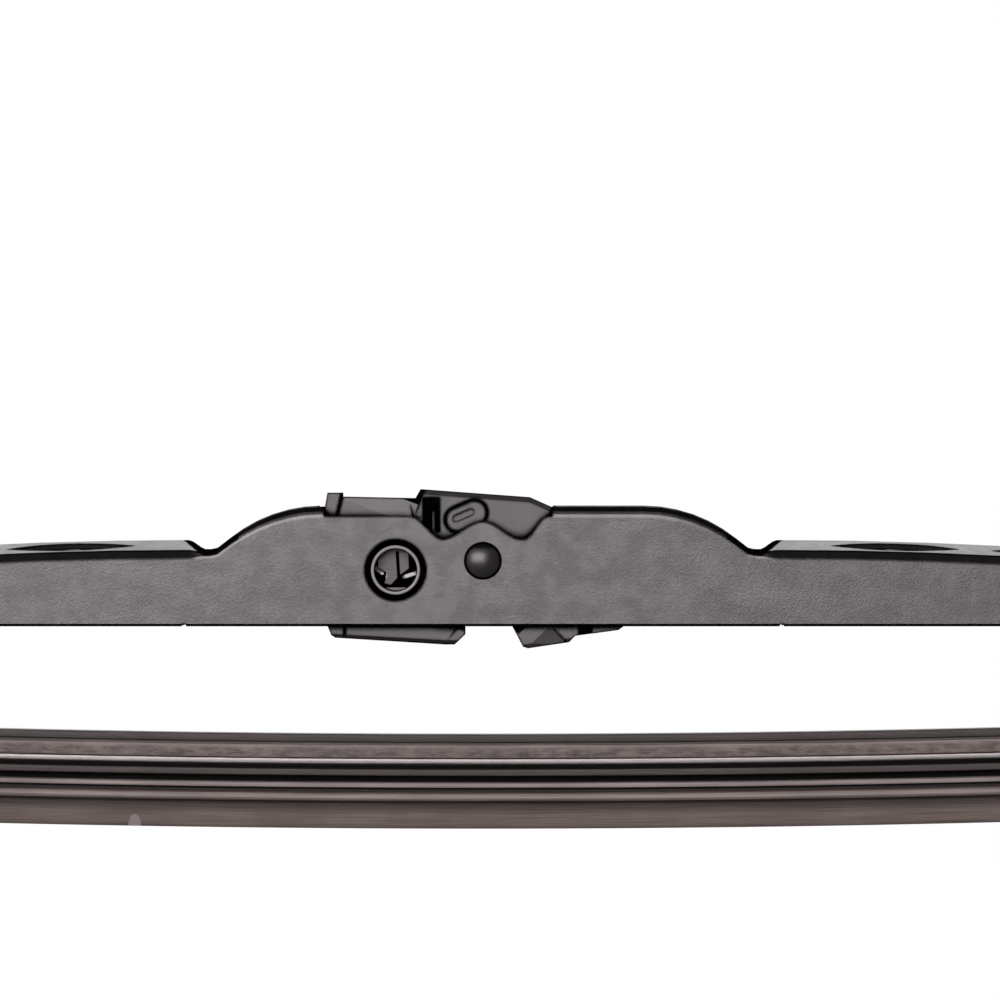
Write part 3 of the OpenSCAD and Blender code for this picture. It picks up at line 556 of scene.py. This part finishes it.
def make_clean_shell():
    """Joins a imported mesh's loose triangles and marks its sharp edges."""
    tree, start = new_shape_group("clean_shell", {"Sharp Angle": SHARP_ANGLE})
    plain = tree.add("GeometryNodeRemoveAttribute", {"Geometry": start["Geometry"], "Name": "custom_normal"})
    joined = tree.add("GeometryNodeMergeByDistance", {"Geometry": plain.outputs[0], "Distance": WELD})
    smooth = tree.add("GeometryNodeSetShadeSmooth", {"Geometry": joined.outputs[0]}, domain="FACE")
    angle = tree.add("GeometryNodeInputMeshEdgeAngle").outputs[0]
    sharp = tree.add("FunctionNodeCompare", {0: angle, 1: start["Sharp Angle"]}, operation="GREATER_THAN")
    creased = tree.add("GeometryNodeSetShadeSmooth", {
        "Geometry": smooth.outputs[0], "Selection": sharp.outputs[0], "Shade Smooth": False}, domain="EDGE")
    tree.feed(tree.add("NodeGroupOutput").inputs[0], creased.outputs[0])


def ease_edges(node, width):
    """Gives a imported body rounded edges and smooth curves, and leaves its own mesh alone."""
    body = NODES[node]
    clean = body.modifiers.new("clean shell", "NODES")
    clean.node_group = bpy.data.node_groups["clean_shell"]
    flat = body.modifiers.new("one face per plane", "DECIMATE")
    flat.decimate_type = "DISSOLVE"
    flat.angle_limit = FLAT_ANGLE
    edge = body.modifiers.new("eased edges", "BEVEL")
    edge.width = width
    edge.segments = 2
    edge.limit_method = "ANGLE"
    edge.angle_limit = SHARP_ANGLE
    edge.use_clamp_overlap = False
    even = body.modifiers.new("flat faces stay flat", "WEIGHTED_NORMAL")
    even.mode = "FACE_AREA"
    even.weight = 80
    even.keep_sharp = True


def dress(node, finish):
    """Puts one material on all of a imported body."""
    material = bpy.data.materials[finish]
    slots = NODES[node].data.materials
    for i in range(len(slots)):
        slots[i] = material
    if not len(slots):
        slots.append(material)


# The strip: a section swept along the blade's bow

STRIP_MAP = "strip_map"

# What the rubber's colour is multiplied by, as a grey or an RGB colour, by depth below its top in mm: bands
# of graphite, bloom and rubbed ridges, with painted shade in the grooves and on the lip below the shoulder,
# and painted highlights on the block's top edge and on the shoulder
RUBBER_BANDS_AND_PAINTED_LIGHT = [
    (0.0, 0.6), (1.2, 0.55), (1.3, 0.3), (1.75, (3.2, 3.5, 3.7)), (2.3, 1.4), (3.1, 0.9), (3.6, 1.4),
    (4.7, 0.3), (5.1, 0.15), (5.35, 0.2), (5.5, 0.45), (6.4, 0.75), (6.55, 0.0), (7.5, 0.0),
    (7.65, (3.6, 4.0, 4.3)), (8.3, (3.6, 4.0, 4.3)), (8.5, 0.0), (8.95, 0.5), (9.2, 2.4),
    (9.9, (3.5, 3.9, 4.1)), (10.3, 2.4), (10.5, 0.6), (11.6, 1.0), (12.7, 2.4), (14.2, 2.3), (14.7, 1.3)]

# Half section of the rubber, from its top down, in mm: depth, half width, corner radius
RUBBER_SECTION = [
    (0.0, 3.0, 0.3), (1.22, 3.0, 0.1), (1.24, 2.2, 0.05), (1.62, 2.2, 0.05),
    (1.64, 3.9, 0.22), (3.7, 3.9, 0.06), (3.71, 1.35, 0.05), (5.41, 1.35, 0.05),
    (5.42, 3.3, 0.2), (6.5, 3.3, 0.2), (6.52, 1.5, 0.1), (7.62, 1.5, 0.1),
    (7.64, 2.7, 0.16), (8.36, 2.7, 0.16), (8.38, 0.55, 0.08), (9.03, 0.55, 0.08),
    (9.05, 1.5, 0.15), (9.3, 2.4, 0.3), (10.0, 2.6, 0.4), (10.48, 2.3, 0.18),
    (10.5, 1.1, 0.08), (10.9, 0.95, 0.3), (14.8, 0.36, 0.06)]

# Section of a rail, in mm: place across the strip, height from its top, corner radius
RAIL_SECTION = [(1.4, -3.75, 0.1), (4.1, -3.75, 0.2), (4.1, -4.7, 0.2), (1.4, -4.7, 0.1)]

# A rounded corner keeps to this share of the edges beside it, stays sharp where it would reach less far
# in mm, and counts as turning by no less than this tangent
CORNER_SHARE = 0.45
CORNER_LEAST = 0.012
LEAST_TANGENT = 0.05

# In the strip's mesh: how near to the middle a corner belongs to the seam between the halves, how near
# corners are the same, and from which angle an edge is sharp
SEAM_REACH = 0.1 * MM
STRIP_WELD = 0.0005 * MM
STRIP_SHARP = math.radians(34)


def rounded(corners, steps):
    """A closed outline through corners (y, z, radius), with each corner rounded."""
    out = []
    count = len(corners)
    for i, (y, z, radius) in enumerate(corners):
        here = Vector((y, z))
        before = Vector(corners[i - 1][:2]) - here
        after = Vector(corners[(i + 1) % count][:2]) - here
        turn = before.angle(after)
        reach = radius / max(math.tan(turn / 2), LEAST_TANGENT)
        reach = min(reach, CORNER_SHARE * before.length, CORNER_SHARE * after.length)
        if reach < CORNER_LEAST:
            out.append(here)
            continue
        a = here + before.normalized() * reach
        b = here + after.normalized() * reach
        for k in range(steps + 1):
            t = k / steps
            out.append(a * (1 - t) ** 2 + here * 2 * t * (1 - t) + b * t ** 2)
    return out


def section_object(points):
    """A closed outline as a mesh of edges in its own X and Y, for the sweep to read."""
    mesh = bpy.data.meshes.new("section")
    verts = [(p.x * MM, -p.y * MM, 0) for p in points]
    mesh.from_pydata(verts, [(i, (i + 1) % len(verts)) for i in range(len(verts))], [])
    return add_object("section", mesh)


def make_bow_sweep():
    """Sweeps a section along the strip's bow, from one place along the blade to another."""
    tree, start = new_shape_group("bow_sweep", {
        "From": -265 * MM, "To": 0.0, "Segment": 5 * MM, "Top": -27.1 * MM, "Inner Claw": 88 * MM,
        "Bow Radius": 3.2, "Section": "Object", "Material": "Material"})
    line = tree.add("GeometryNodeCurvePrimitiveLine", {
        "Start": tree.joined(start["From"]), "End": tree.joined(start["To"])}).outputs[0]
    path = tree.add("GeometryNodeResampleCurve", {"Curve": line, "Length": start["Segment"]},
                    mode="LENGTH")
    away = tree.math("ABSOLUTE", tree.parts(tree.add("GeometryNodeInputPosition").outputs[0])[0])
    claw, bow = start["Inner Claw"], start["Bow Radius"]
    inner = tree.math("MINIMUM", away, claw)
    outer = tree.math("MAXIMUM", tree.math("SUBTRACT", away, claw), 0.0)
    twice = tree.math("MULTIPLY", bow, 2.0)
    sag = tree.math("DIVIDE", tree.math("MULTIPLY", inner, inner), twice)
    rise = tree.math("DIVIDE", tree.math("MULTIPLY", outer, claw), bow)
    drop = tree.math("DIVIDE", tree.math("MULTIPLY", outer, outer), twice)
    height = tree.math("SUBTRACT", tree.math("ADD", tree.math("ADD", sag, rise), start["Top"]), drop)
    bent = tree.add("GeometryNodeSetPosition", {
        "Geometry": path.outputs[0], "Offset": tree.joined(z=height)}).outputs[0]
    upright = tree.add("GeometryNodeSetCurveNormal", {"Curve": bent}, mode="Z_UP").outputs[0]
    read = tree.add("GeometryNodeObjectInfo", {"Object": start["Section"]}).outputs["Geometry"]
    outline = tree.add("GeometryNodeMeshToCurve", {"Mesh": read}).outputs[0]
    swept = tree.add("GeometryNodeCurveToMesh", {
        "Curve": upright, "Profile Curve": outline, "Fill Caps": True}).outputs[0]
    end_shape_group(tree, swept, start["Material"])


def make_bead():
    """A bead on a circle that faces the front. Its section is Thickness wide, and Rise is the share of
    that by which it is deep."""
    tree, start = new_shape_group("bead", {
        "Centre": "Vector", "Radius": "Float", "Thickness": "Float", "Rise": "Float",
        "Material": "Material"})
    path = tree.add("GeometryNodeCurvePrimitiveCircle", {"Resolution": 96, "Radius": start["Radius"]})
    half = tree.math("MULTIPLY", start["Thickness"], 0.5)
    section = tree.add("GeometryNodeCurvePrimitiveCircle", {"Resolution": 12, "Radius": half})
    ring = tree.add("GeometryNodeCurveToMesh", {
        "Curve": path.outputs[0], "Profile Curve": section.outputs[0]})
    placed = tree.add("GeometryNodeTransform", {
        "Geometry": ring.outputs[0], "Translation": start["Centre"], "Rotation": (math.pi / 2, 0, 0),
        "Scale": tree.joined(1.0, 1.0, start["Rise"])})
    end_shape_group(tree, placed.outputs[0], start["Material"])


def run_group(name, group_name, values):
    """What a geometry group makes from its named inputs, as a plain mesh."""
    carrier = add_object(name + "_carrier", bpy.data.meshes.new(name + "_carrier"))
    modifier = carrier.modifiers.new(group_name, "NODES")
    group = bpy.data.node_groups[group_name]
    modifier.node_group = group
    for item in group.interface.items_tree:
        if item.in_out == "INPUT" and item.name in values:
            modifier[item.identifier] = values[item.name]
    bpy.context.view_layer.update()
    depsgraph = bpy.context.evaluated_depsgraph_get()
    mesh = bpy.data.meshes.new_from_object(carrier.evaluated_get(depsgraph))
    mesh.name = name
    bpy.data.objects.remove(carrier)
    if not mesh.polygons:
        raise RuntimeError(name + ": the group gave no faces")
    return mesh


def sweep(name, section, material, x_from, x_to, strip):
    """One piece of the strip as an object at the origin. Its section is removed."""
    mesh = run_group(name, "bow_sweep", {
        "From": x_from, "To": x_to, "Segment": strip.segment, "Top": -strip.top_depth,
        "Inner Claw": strip.inner_claw, "Bow Radius": strip.bow_radius, "Section": section,
        "Material": material})
    bpy.data.objects.remove(section)
    finish_strip_mesh(mesh, strip)
    return add_object(name, mesh)


def strip_top(x, strip):
    """Height of the strip's top at a place along the blade."""
    inner = min(abs(x), strip.inner_claw)
    outer = max(abs(x) - strip.inner_claw, 0.0)
    rise = outer * strip.inner_claw / strip.bow_radius
    return rise - strip.top_depth + (inner ** 2 - outer ** 2) / (2 * strip.bow_radius)


def finish_strip_mesh(mesh, strip):
    """Outward faces, smooth curves with sharp steps, and a map of place along the strip and depth."""
    work = bmesh.new()
    work.from_mesh(mesh)
    for vert in work.verts:
        if abs(vert.co.x) < SEAM_REACH:
            vert.co.x = 0
    bmesh.ops.remove_doubles(work, verts=work.verts, dist=STRIP_WELD)
    bmesh.ops.recalc_face_normals(work, faces=work.faces)
    for face in work.faces:
        face.smooth = True
    for edge in work.edges:
        edge.smooth = len(edge.link_faces) == 2 and edge.calc_face_angle() < STRIP_SHARP
    layer = work.loops.layers.uv.new(STRIP_MAP)
    for face in work.faces:
        for loop in face.loops:
            spot = loop.vert.co
            loop[layer].uv = (spot.x, (strip_top(spot.x, strip) - spot.z) / strip.height / MM)
    work.to_mesh(mesh)
    work.free()


# Sizes and colours that a user may change

def length(name, description, default):
    """A property that holds a length in metres."""
    return FloatProperty(name=name, description=description, default=default, unit="LENGTH", precision=6)


def amount(name, description, default, low=0.0, high=100.0):
    """A property that holds a plain number."""
    return FloatProperty(name=name, description=description, default=default, min=low, max=high)


def rgb(name, description, default):
    """A property that holds an RGB colour."""
    return FloatVectorProperty(name=name, description=description, default=default, subtype="COLOR",
                               size=3, min=0.0, max=1.0)


class BLADE_PG_finish(bpy.types.PropertyGroup):
    colour: rgb("Enamel colour", "Colour of the black enamel", (0.020, 0.0175, 0.0188))
    roughness: amount("Enamel roughness", "Roughness of the enamel", 0.36, 0.05, 1.0)
    peel_size: length("Peel size", "Width of the fine waves in the enamel", 0.32 * MM)
    peel_depth: length("Peel depth", "Depth of the fine waves in the enamel", 0.016 * MM)
    plastic_colour: rgb("Connector colour", "Colour of the connector's plastic", (0.032, 0.0275, 0.0265))
    bearing_colour: rgb("Bearing colour", "Colour of the bearings and liners", (0.028, 0.027, 0.027))
    steel_colour: rgb("Steel colour", "Colour of the rails and clips", (0.38, 0.36, 0.35))
    steel_roughness: amount("Steel roughness", "Roughness of the rails and clips", 0.34, 0.05, 1.0)
    rubber_colour: rgb("Rubber colour", "Colour of the rubber", (0.086, 0.0675, 0.059))
    rubber_roughness: amount("Rubber roughness", "Roughness of the rubber", 0.46, 0.05, 1.0)
    edge: length("Edge rounding", "How far the light on the enamel turns round the steel's edges", 0.26 * MM)
    small_edge: length("Rivet and clip edges", "Width of the eased edges of rivets and clips", 0.08 * MM)
    bearing_edge: length("Bearing edges", "Width of the eased edges of bearings and liners", 0.06 * MM)


class BLADE_PG_strip(bpy.types.PropertyGroup):
    top_depth: length("Top depth", "Depth of the strip's top below the centre rivet", 27.1 * MM)
    height: amount("Height", "Height of the rubber's section in millimetres", 14.8)
    inner_claw: length("Inner claw", "Distance from the centre rivet to the inner claws", 88 * MM)
    bow_radius: length("Bow radius", "Radius of the strip's bow", 3.2)
    segment: length("Segment", "Length of one segment of the strip's mesh", 5 * MM)
    spot_x: length("Spot place", "Place of the pale spot along the blade", -54.4 * MM)
    spot_width: length("Spot width", "Width of the pale spot", 2.1 * MM)
    spot_height: amount("Spot height", "Height of the pale spot in millimetres", 2.0)
    bend_end: length("Bend end", "Where the strip has taken up a yoke's tilt, from the middle", 85 * MM)
    corner_steps: IntProperty(
        name="Corner steps", description="Faces round each edge of the section", default=3, min=1, max=6)


class BLADE_PG_rim(bpy.types.PropertyGroup):
    radius: length("Radius", "Radius of the bead round the bore", 3.6 * MM)
    thickness: length("Thickness", "Thickness of the bead", 0.48 * MM)
    rise: amount("Rise", "Depth of the bead's section as a share of its width, low for the bridge to clear",
                 0.4, 0.1, 1.0)
    face: length("Face", "From the middle plane to the face that the bead lies on", 6.02 * MM)


class BLADE_PG_stage(bpy.types.PropertyGroup):
    floor_z: length("Floor height", "Height of the floor", -0.16)
    floor_radius: length("Floor radius", "Radius of the floor", 1.6)
    view_width: length("View width", "Width of the blade that the camera takes in", 156.25 * MM)
    view_x: length("View place", "Place along the blade that the camera looks at", 2.66 * MM)
    view_z: length("View height", "Height that the camera looks at", 9.45 * MM)
    distance: length("Camera distance", "From the camera to the blade", 1.5)
    key: amount("Key light", "Radiance of the large soft light in front", 3.9)
    rim: amount("Rim light", "Radiance of the soft light behind", 1.1)
    ambient: amount("Ambient light", "Even light from all round", 0.15)


class BladeSettings(bpy.types.PropertyGroup):
    finish: PointerProperty(type=BLADE_PG_finish, name="Finish", description="Colours and surfaces")
    strip: PointerProperty(type=BLADE_PG_strip, name="Strip", description="The rubber strip")
    rim: PointerProperty(type=BLADE_PG_rim, name="Bore rim", description="The bead round the side pin bore")
    stage: PointerProperty(type=BLADE_PG_stage, name="Stage", description="Floor, lights and camera")


# Operators

PAINTED = {"main_bridge": "bridge_enamel", "left_yoke": "yoke_enamel", "right_yoke": "yoke_enamel",
           "centre_rivet": "rivet_enamel", "left_yoke_rivet": "rivet_enamel",
           "right_yoke_rivet": "rivet_enamel"}
MOULDED = ["connector_body", "connector_latch"]
BEARINGS = ["left_yoke_bearing", "right_yoke_bearing", "left_inner_liner", "left_outer_liner",
            "right_inner_liner", "right_outer_liner"]
# The side pin clip gets a darker copy of the spring steel, which is painted shade
SPRUNG = {"side_pin_clip": "shaded_spring_steel", "left_end_clip": "rolled_spring_steel",
          "right_end_clip": "rolled_spring_steel"}


class BLADE_OT_materials(bpy.types.Operator):
    """Make the shared effects and the materials"""
    bl_idname = "blade.materials"
    bl_label = "Make Materials"

    def execute(self, context):
        settings = context.scene.blade
        for make in (make_orange_peel, make_grain, make_edge_wear, make_painted_shade, make_bridge_painted_shade,
                     make_connector_painted_shade, make_streaks, make_dust):
            make()
        finish = settings.finish
        make_paint("bridge_enamel", finish, coat_roughness=0.3, painted_shade_marks=True)
        make_paint("yoke_enamel", finish, coat_roughness=0.3)
        make_paint("rivet_enamel", finish, coat_roughness=0.38)
        make_plastic("connector_plastic_skin", finish.plastic_colour, roughness=0.4, grain_size=0.22 * MM)
        make_plastic("bearing_plastic_skin", finish.bearing_colour, roughness=0.5, grain_size=0.16 * MM)
        make_rim_highlight(finish)
        make_steel("rolled_spring_steel", finish, share=1.0)
        # A darker copy of the spring steel, as painted shade on the side pin clip deep in the bore, with
        # painted highlights on its tips
        make_steel("shaded_spring_steel", finish, share=0.36, tips=True)
        make_rubber(finish, settings.strip)
        return {"FINISHED"}


class BLADE_OT_steelwork(bpy.types.Operator):
    """Finish the bridge, the yokes and the rivets in satin enamel, and ease the rivets' edges"""
    bl_idname = "blade.steelwork"
    bl_label = "Finish Painted Steel"

    def execute(self, context):
        make_clean_shell()
        for node, enamel in PAINTED.items():
            dress(node, enamel)
            if enamel == "rivet_enamel":
                ease_edges(node, context.scene.blade.finish.small_edge)
        return {"FINISHED"}


class BLADE_OT_connector(bpy.types.Operator):
    """Finish the arm connector and its latch in moulded plastic"""
    bl_idname = "blade.connector"
    bl_label = "Finish Connector"

    def execute(self, context):
        for node in MOULDED:
            dress(node, "connector_plastic_skin")
        return {"FINISHED"}


class BLADE_OT_bore_rim(bpy.types.Operator):
    """Lay the pale bead, a painted highlight, round the mouth of the side pin bore"""
    bl_idname = "blade.bore_rim"
    bl_label = "Make Bore Rim"

    def execute(self, context):
        rim = context.scene.blade.rim
        make_bead()
        mesh = run_group("bore_rim", "bead", {
            "Centre": (BORE_X, -rim.face, BORE_Z), "Radius": rim.radius, "Thickness": rim.thickness,
            "Rise": rim.rise, "Material": bpy.data.materials["rim_highlight_plastic"]})
        for face in mesh.polygons:
            face.use_smooth = True
        bead = add_object("bore_rim", mesh)
        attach(bead, "connector")
        return {"FINISHED"}


class BLADE_OT_bearings(bpy.types.Operator):
    """Finish the yoke bearings and the claw liners in matt plastic"""
    bl_idname = "blade.bearings"
    bl_label = "Finish Bearings"

    def execute(self, context):
        for node in BEARINGS:
            dress(node, "bearing_plastic_skin")
            ease_edges(node, context.scene.blade.finish.bearing_edge)
        return {"FINISHED"}


class BLADE_OT_clips(bpy.types.Operator):
    """Finish the side pin clip and the end clips in spring steel"""
    bl_idname = "blade.clips"
    bl_label = "Finish Spring Clips"

    def execute(self, context):
        for node, finish in SPRUNG.items():
            dress(node, finish)
            ease_edges(node, context.scene.blade.finish.small_edge)
        return {"FINISHED"}


class BLADE_OT_strip(bpy.types.Operator):
    """Make the rubber and its two spring rails, each as a left and a right half"""
    bl_idname = "blade.strip"
    bl_label = "Make Strip"

    def execute(self, context):
        strip = context.scene.blade.strip
        make_bow_sweep()
        low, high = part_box("rubber_element")
        steel = bpy.data.materials["rolled_spring_steel"]
        rubber = bpy.data.materials["graphite_rubber"]
        rubber_half = [(y, -depth, radius) for depth, y, radius in RUBBER_SECTION]
        rubber_line = rubber_half + [(-y, z, radius) for y, z, radius in reversed(rubber_half)]
        front_rail = [(-y, z, radius) for y, z, radius in RAIL_SECTION]
        parts = [("rubber", "rubber_element", "rubber", rubber, rubber_line),
                 ("front_rail", "front_rail", "spring_steel", steel, front_rail),
                 ("rear_rail", "rear_rail", "spring_steel", steel, RAIL_SECTION)]
        for name, node, slot, material, corners in parts:
            for side, x_from, x_to in (("left", low.x, 0.0), ("right", 0.0, high.x)):
                section = section_object(rounded(corners, strip.corner_steps))
                piece = sweep(name + "_" + side, section, material, x_from, x_to, strip)
                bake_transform(piece)
                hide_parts(node)
        return {"FINISHED"}


# The stage

# Each lamp's azimuth, from the front towards the right, and elevation in degrees, its distance, its width
# and height, and its colour
KEY_LAMP = ((-23, 16), 4.0, (4.6, 2.4), (1.0, 0.935, 0.965))
RIM_LAMP = ((180, 33), 2.5, (2.6, 0.7), (1.0, 0.975, 0.97))

# The width of the camera's sensor in mm, and how far it sees in metres
SENSOR_WIDTH = 36.0
FARTHEST_SEEN = 20.0

# The floor glows by FLOOR_GLOW for the camera. For mirrors it glows only in its far part, which starts
# and is full at these places behind the blade
FLOOR_GLOW = 0.6
FLOOR_FAR = (0.2, 0.8)
FLOOR_TONE = 0.2
FLOOR_TONE_SEEN = 0.8

# For mirrors the world is white behind the blade, which starts and is full where a direction points back
# by these shares, and has the tone WORLD_FAINT elsewhere
WORLD_BEHIND = (0.62, 0.85)
WORLD_FAINT = 0.03


class BLADE_OT_stage(bpy.types.Operator):
    """Set up the floor, the soft lights and the camera"""
    bl_idname = "blade.stage"
    bl_label = "Set Up Stage"

    def execute(self, context):
        stage = context.scene.blade.stage
        scene = context.scene
        scene.view_settings.view_transform = "Standard"
        make_floor(stage)
        make_world(stage)
        make_lamp("key", stage.key, *KEY_LAMP)
        make_lamp("rim", stage.rim, *RIM_LAMP)
        camera = bpy.data.cameras.new("camera")
        camera.sensor_width = SENSOR_WIDTH
        camera.lens = camera.sensor_width * stage.distance / stage.view_width
        camera.clip_end = FARTHEST_SEEN
        eye = add_object("camera", camera)
        eye.location = (stage.view_x, -stage.distance, stage.view_z)
        eye.rotation_euler = (math.radians(90), 0, 0)
        scene.camera = eye
        return {"FINISHED"}


def make_lamp(name, radiance, angles, distance, size, tint):
    """A soft rectangular light that looks at the blade's middle."""
    azimuth, elevation = (math.radians(a) for a in angles)
    where = Vector((math.sin(azimuth) * math.cos(elevation), -math.cos(azimuth) * math.cos(elevation),
                    math.sin(elevation))) * distance
    light = bpy.data.lights.new(name, "AREA")
    light.shape = "RECTANGLE"
    light.size, light.size_y = size
    light.color = tint
    light.energy = radiance * math.pi * size[0] * size[1]
    lamp = add_object(name, light)
    lamp.location = where
    lamp.rotation_euler = (-where).to_track_quat("-Z", "Y").to_euler()
    lamp.visible_camera = False


def make_floor(stage):
    """A pale round floor that the camera sees almost white."""
    work = bmesh.new()
    bmesh.ops.create_circle(work, cap_ends=True, segments=128, radius=stage.floor_radius)
    mesh = bpy.data.meshes.new("floor")
    work.to_mesh(mesh)
    work.free()
    floor = add_object("floor", mesh)
    floor.location.z = stage.floor_z
    material = bpy.data.materials.new("floor_paper")
    tree = empty_tree(material)
    path = tree.add("ShaderNodeLightPath").outputs
    mirrored = tree.math("MAXIMUM", path["Is Glossy Ray"], path["Is Transmission Ray"])
    far = tree.ramp(tree.parts(tree.place())[1], *FLOOR_FAR)
    seen = tree.math("MAXIMUM", path["Is Camera Ray"], tree.math("MULTIPLY", mirrored, far))
    tone = tree.mix(path["Is Camera Ray"], FLOOR_TONE, FLOOR_TONE_SEEN)
    paper = tree.add("ShaderNodeBsdfDiffuse", {"Color": tone})
    glow = tree.add("ShaderNodeEmission", {"Color": rgba(1.0), "Strength": 1.0})
    mixed = tree.add("ShaderNodeMixShader", {
        0: tree.math("MULTIPLY", seen, FLOOR_GLOW), 1: paper.outputs[0], 2: glow.outputs[0]})
    tree.feed(tree.add("ShaderNodeOutputMaterial").inputs[0], mixed.outputs[0])
    mesh.materials.append(material)


def make_world(stage):
    """White behind the blade, for the camera and for what mirrors it, and soft light all round."""
    world = bpy.data.worlds.new("studio")
    bpy.context.scene.world = world
    tree = empty_tree(world)
    path = tree.add("ShaderNodeLightPath").outputs
    ray = tree.parts(tree.add("ShaderNodeTexCoord").outputs["Generated"])
    behind = tree.ramp(ray[1], *WORLD_BEHIND)
    mirrored = tree.math("MAXIMUM", path["Is Glossy Ray"], path["Is Transmission Ray"])
    around = tree.ramp(behind, 0.0, 1.0, to_low=WORLD_FAINT)
    plain = tree.math("MULTIPLY", tree.math("SUBTRACT", 1.0, mirrored), stage.ambient)
    lit = tree.math("ADD", tree.math("MULTIPLY", mirrored, around), plain)
    strength = tree.math("MAXIMUM", path["Is Camera Ray"], lit)
    sky = tree.add("ShaderNodeBackground", {"Color": rgba(1.0), "Strength": strength})
    tree.feed(tree.add("ShaderNodeOutputWorld").inputs[0], sky.outputs[0])


# Panel and registration

ORDER = ("materials", "steelwork", "connector", "bore_rim", "bearings", "clips", "strip", "stage")


class BLADE_PT_panel(bpy.types.Panel):
    """Sizes, colours and steps of the wiper blade"""
    bl_idname = "BLADE_PT_panel"
    bl_label = "Wiper Blade"
    bl_space_type = "VIEW_3D"
    bl_region_type = "UI"
    bl_category = "Wiper Blade"

    def draw(self, context):
        settings = context.scene.blade
        for group in (settings.finish, settings.strip, settings.rim, settings.stage):
            box = self.layout.box()
            for name in group.__annotations__:
                box.prop(group, name)
        for step in ORDER:
            self.layout.operator("blade." + step)


CLASSES = (BLADE_PG_finish, BLADE_PG_strip, BLADE_PG_rim, BLADE_PG_stage, BladeSettings,
           BLADE_OT_materials, BLADE_OT_steelwork, BLADE_OT_connector, BLADE_OT_bore_rim,
           BLADE_OT_bearings, BLADE_OT_clips, BLADE_OT_strip, BLADE_OT_stage, BLADE_PT_panel)


def register():
    for cls in CLASSES:
        bpy.utils.register_class(cls)
    bpy.types.Scene.blade = PointerProperty(type=BladeSettings)


def unregister():
    del bpy.types.Scene.blade
    for cls in reversed(CLASSES):
        bpy.utils.unregister_class(cls)


def main():
    register()
    for step in ORDER:
        getattr(bpy.ops.blade, step)()
    bpy.context.view_layer.update()


if __name__ == "__main__":
    main()
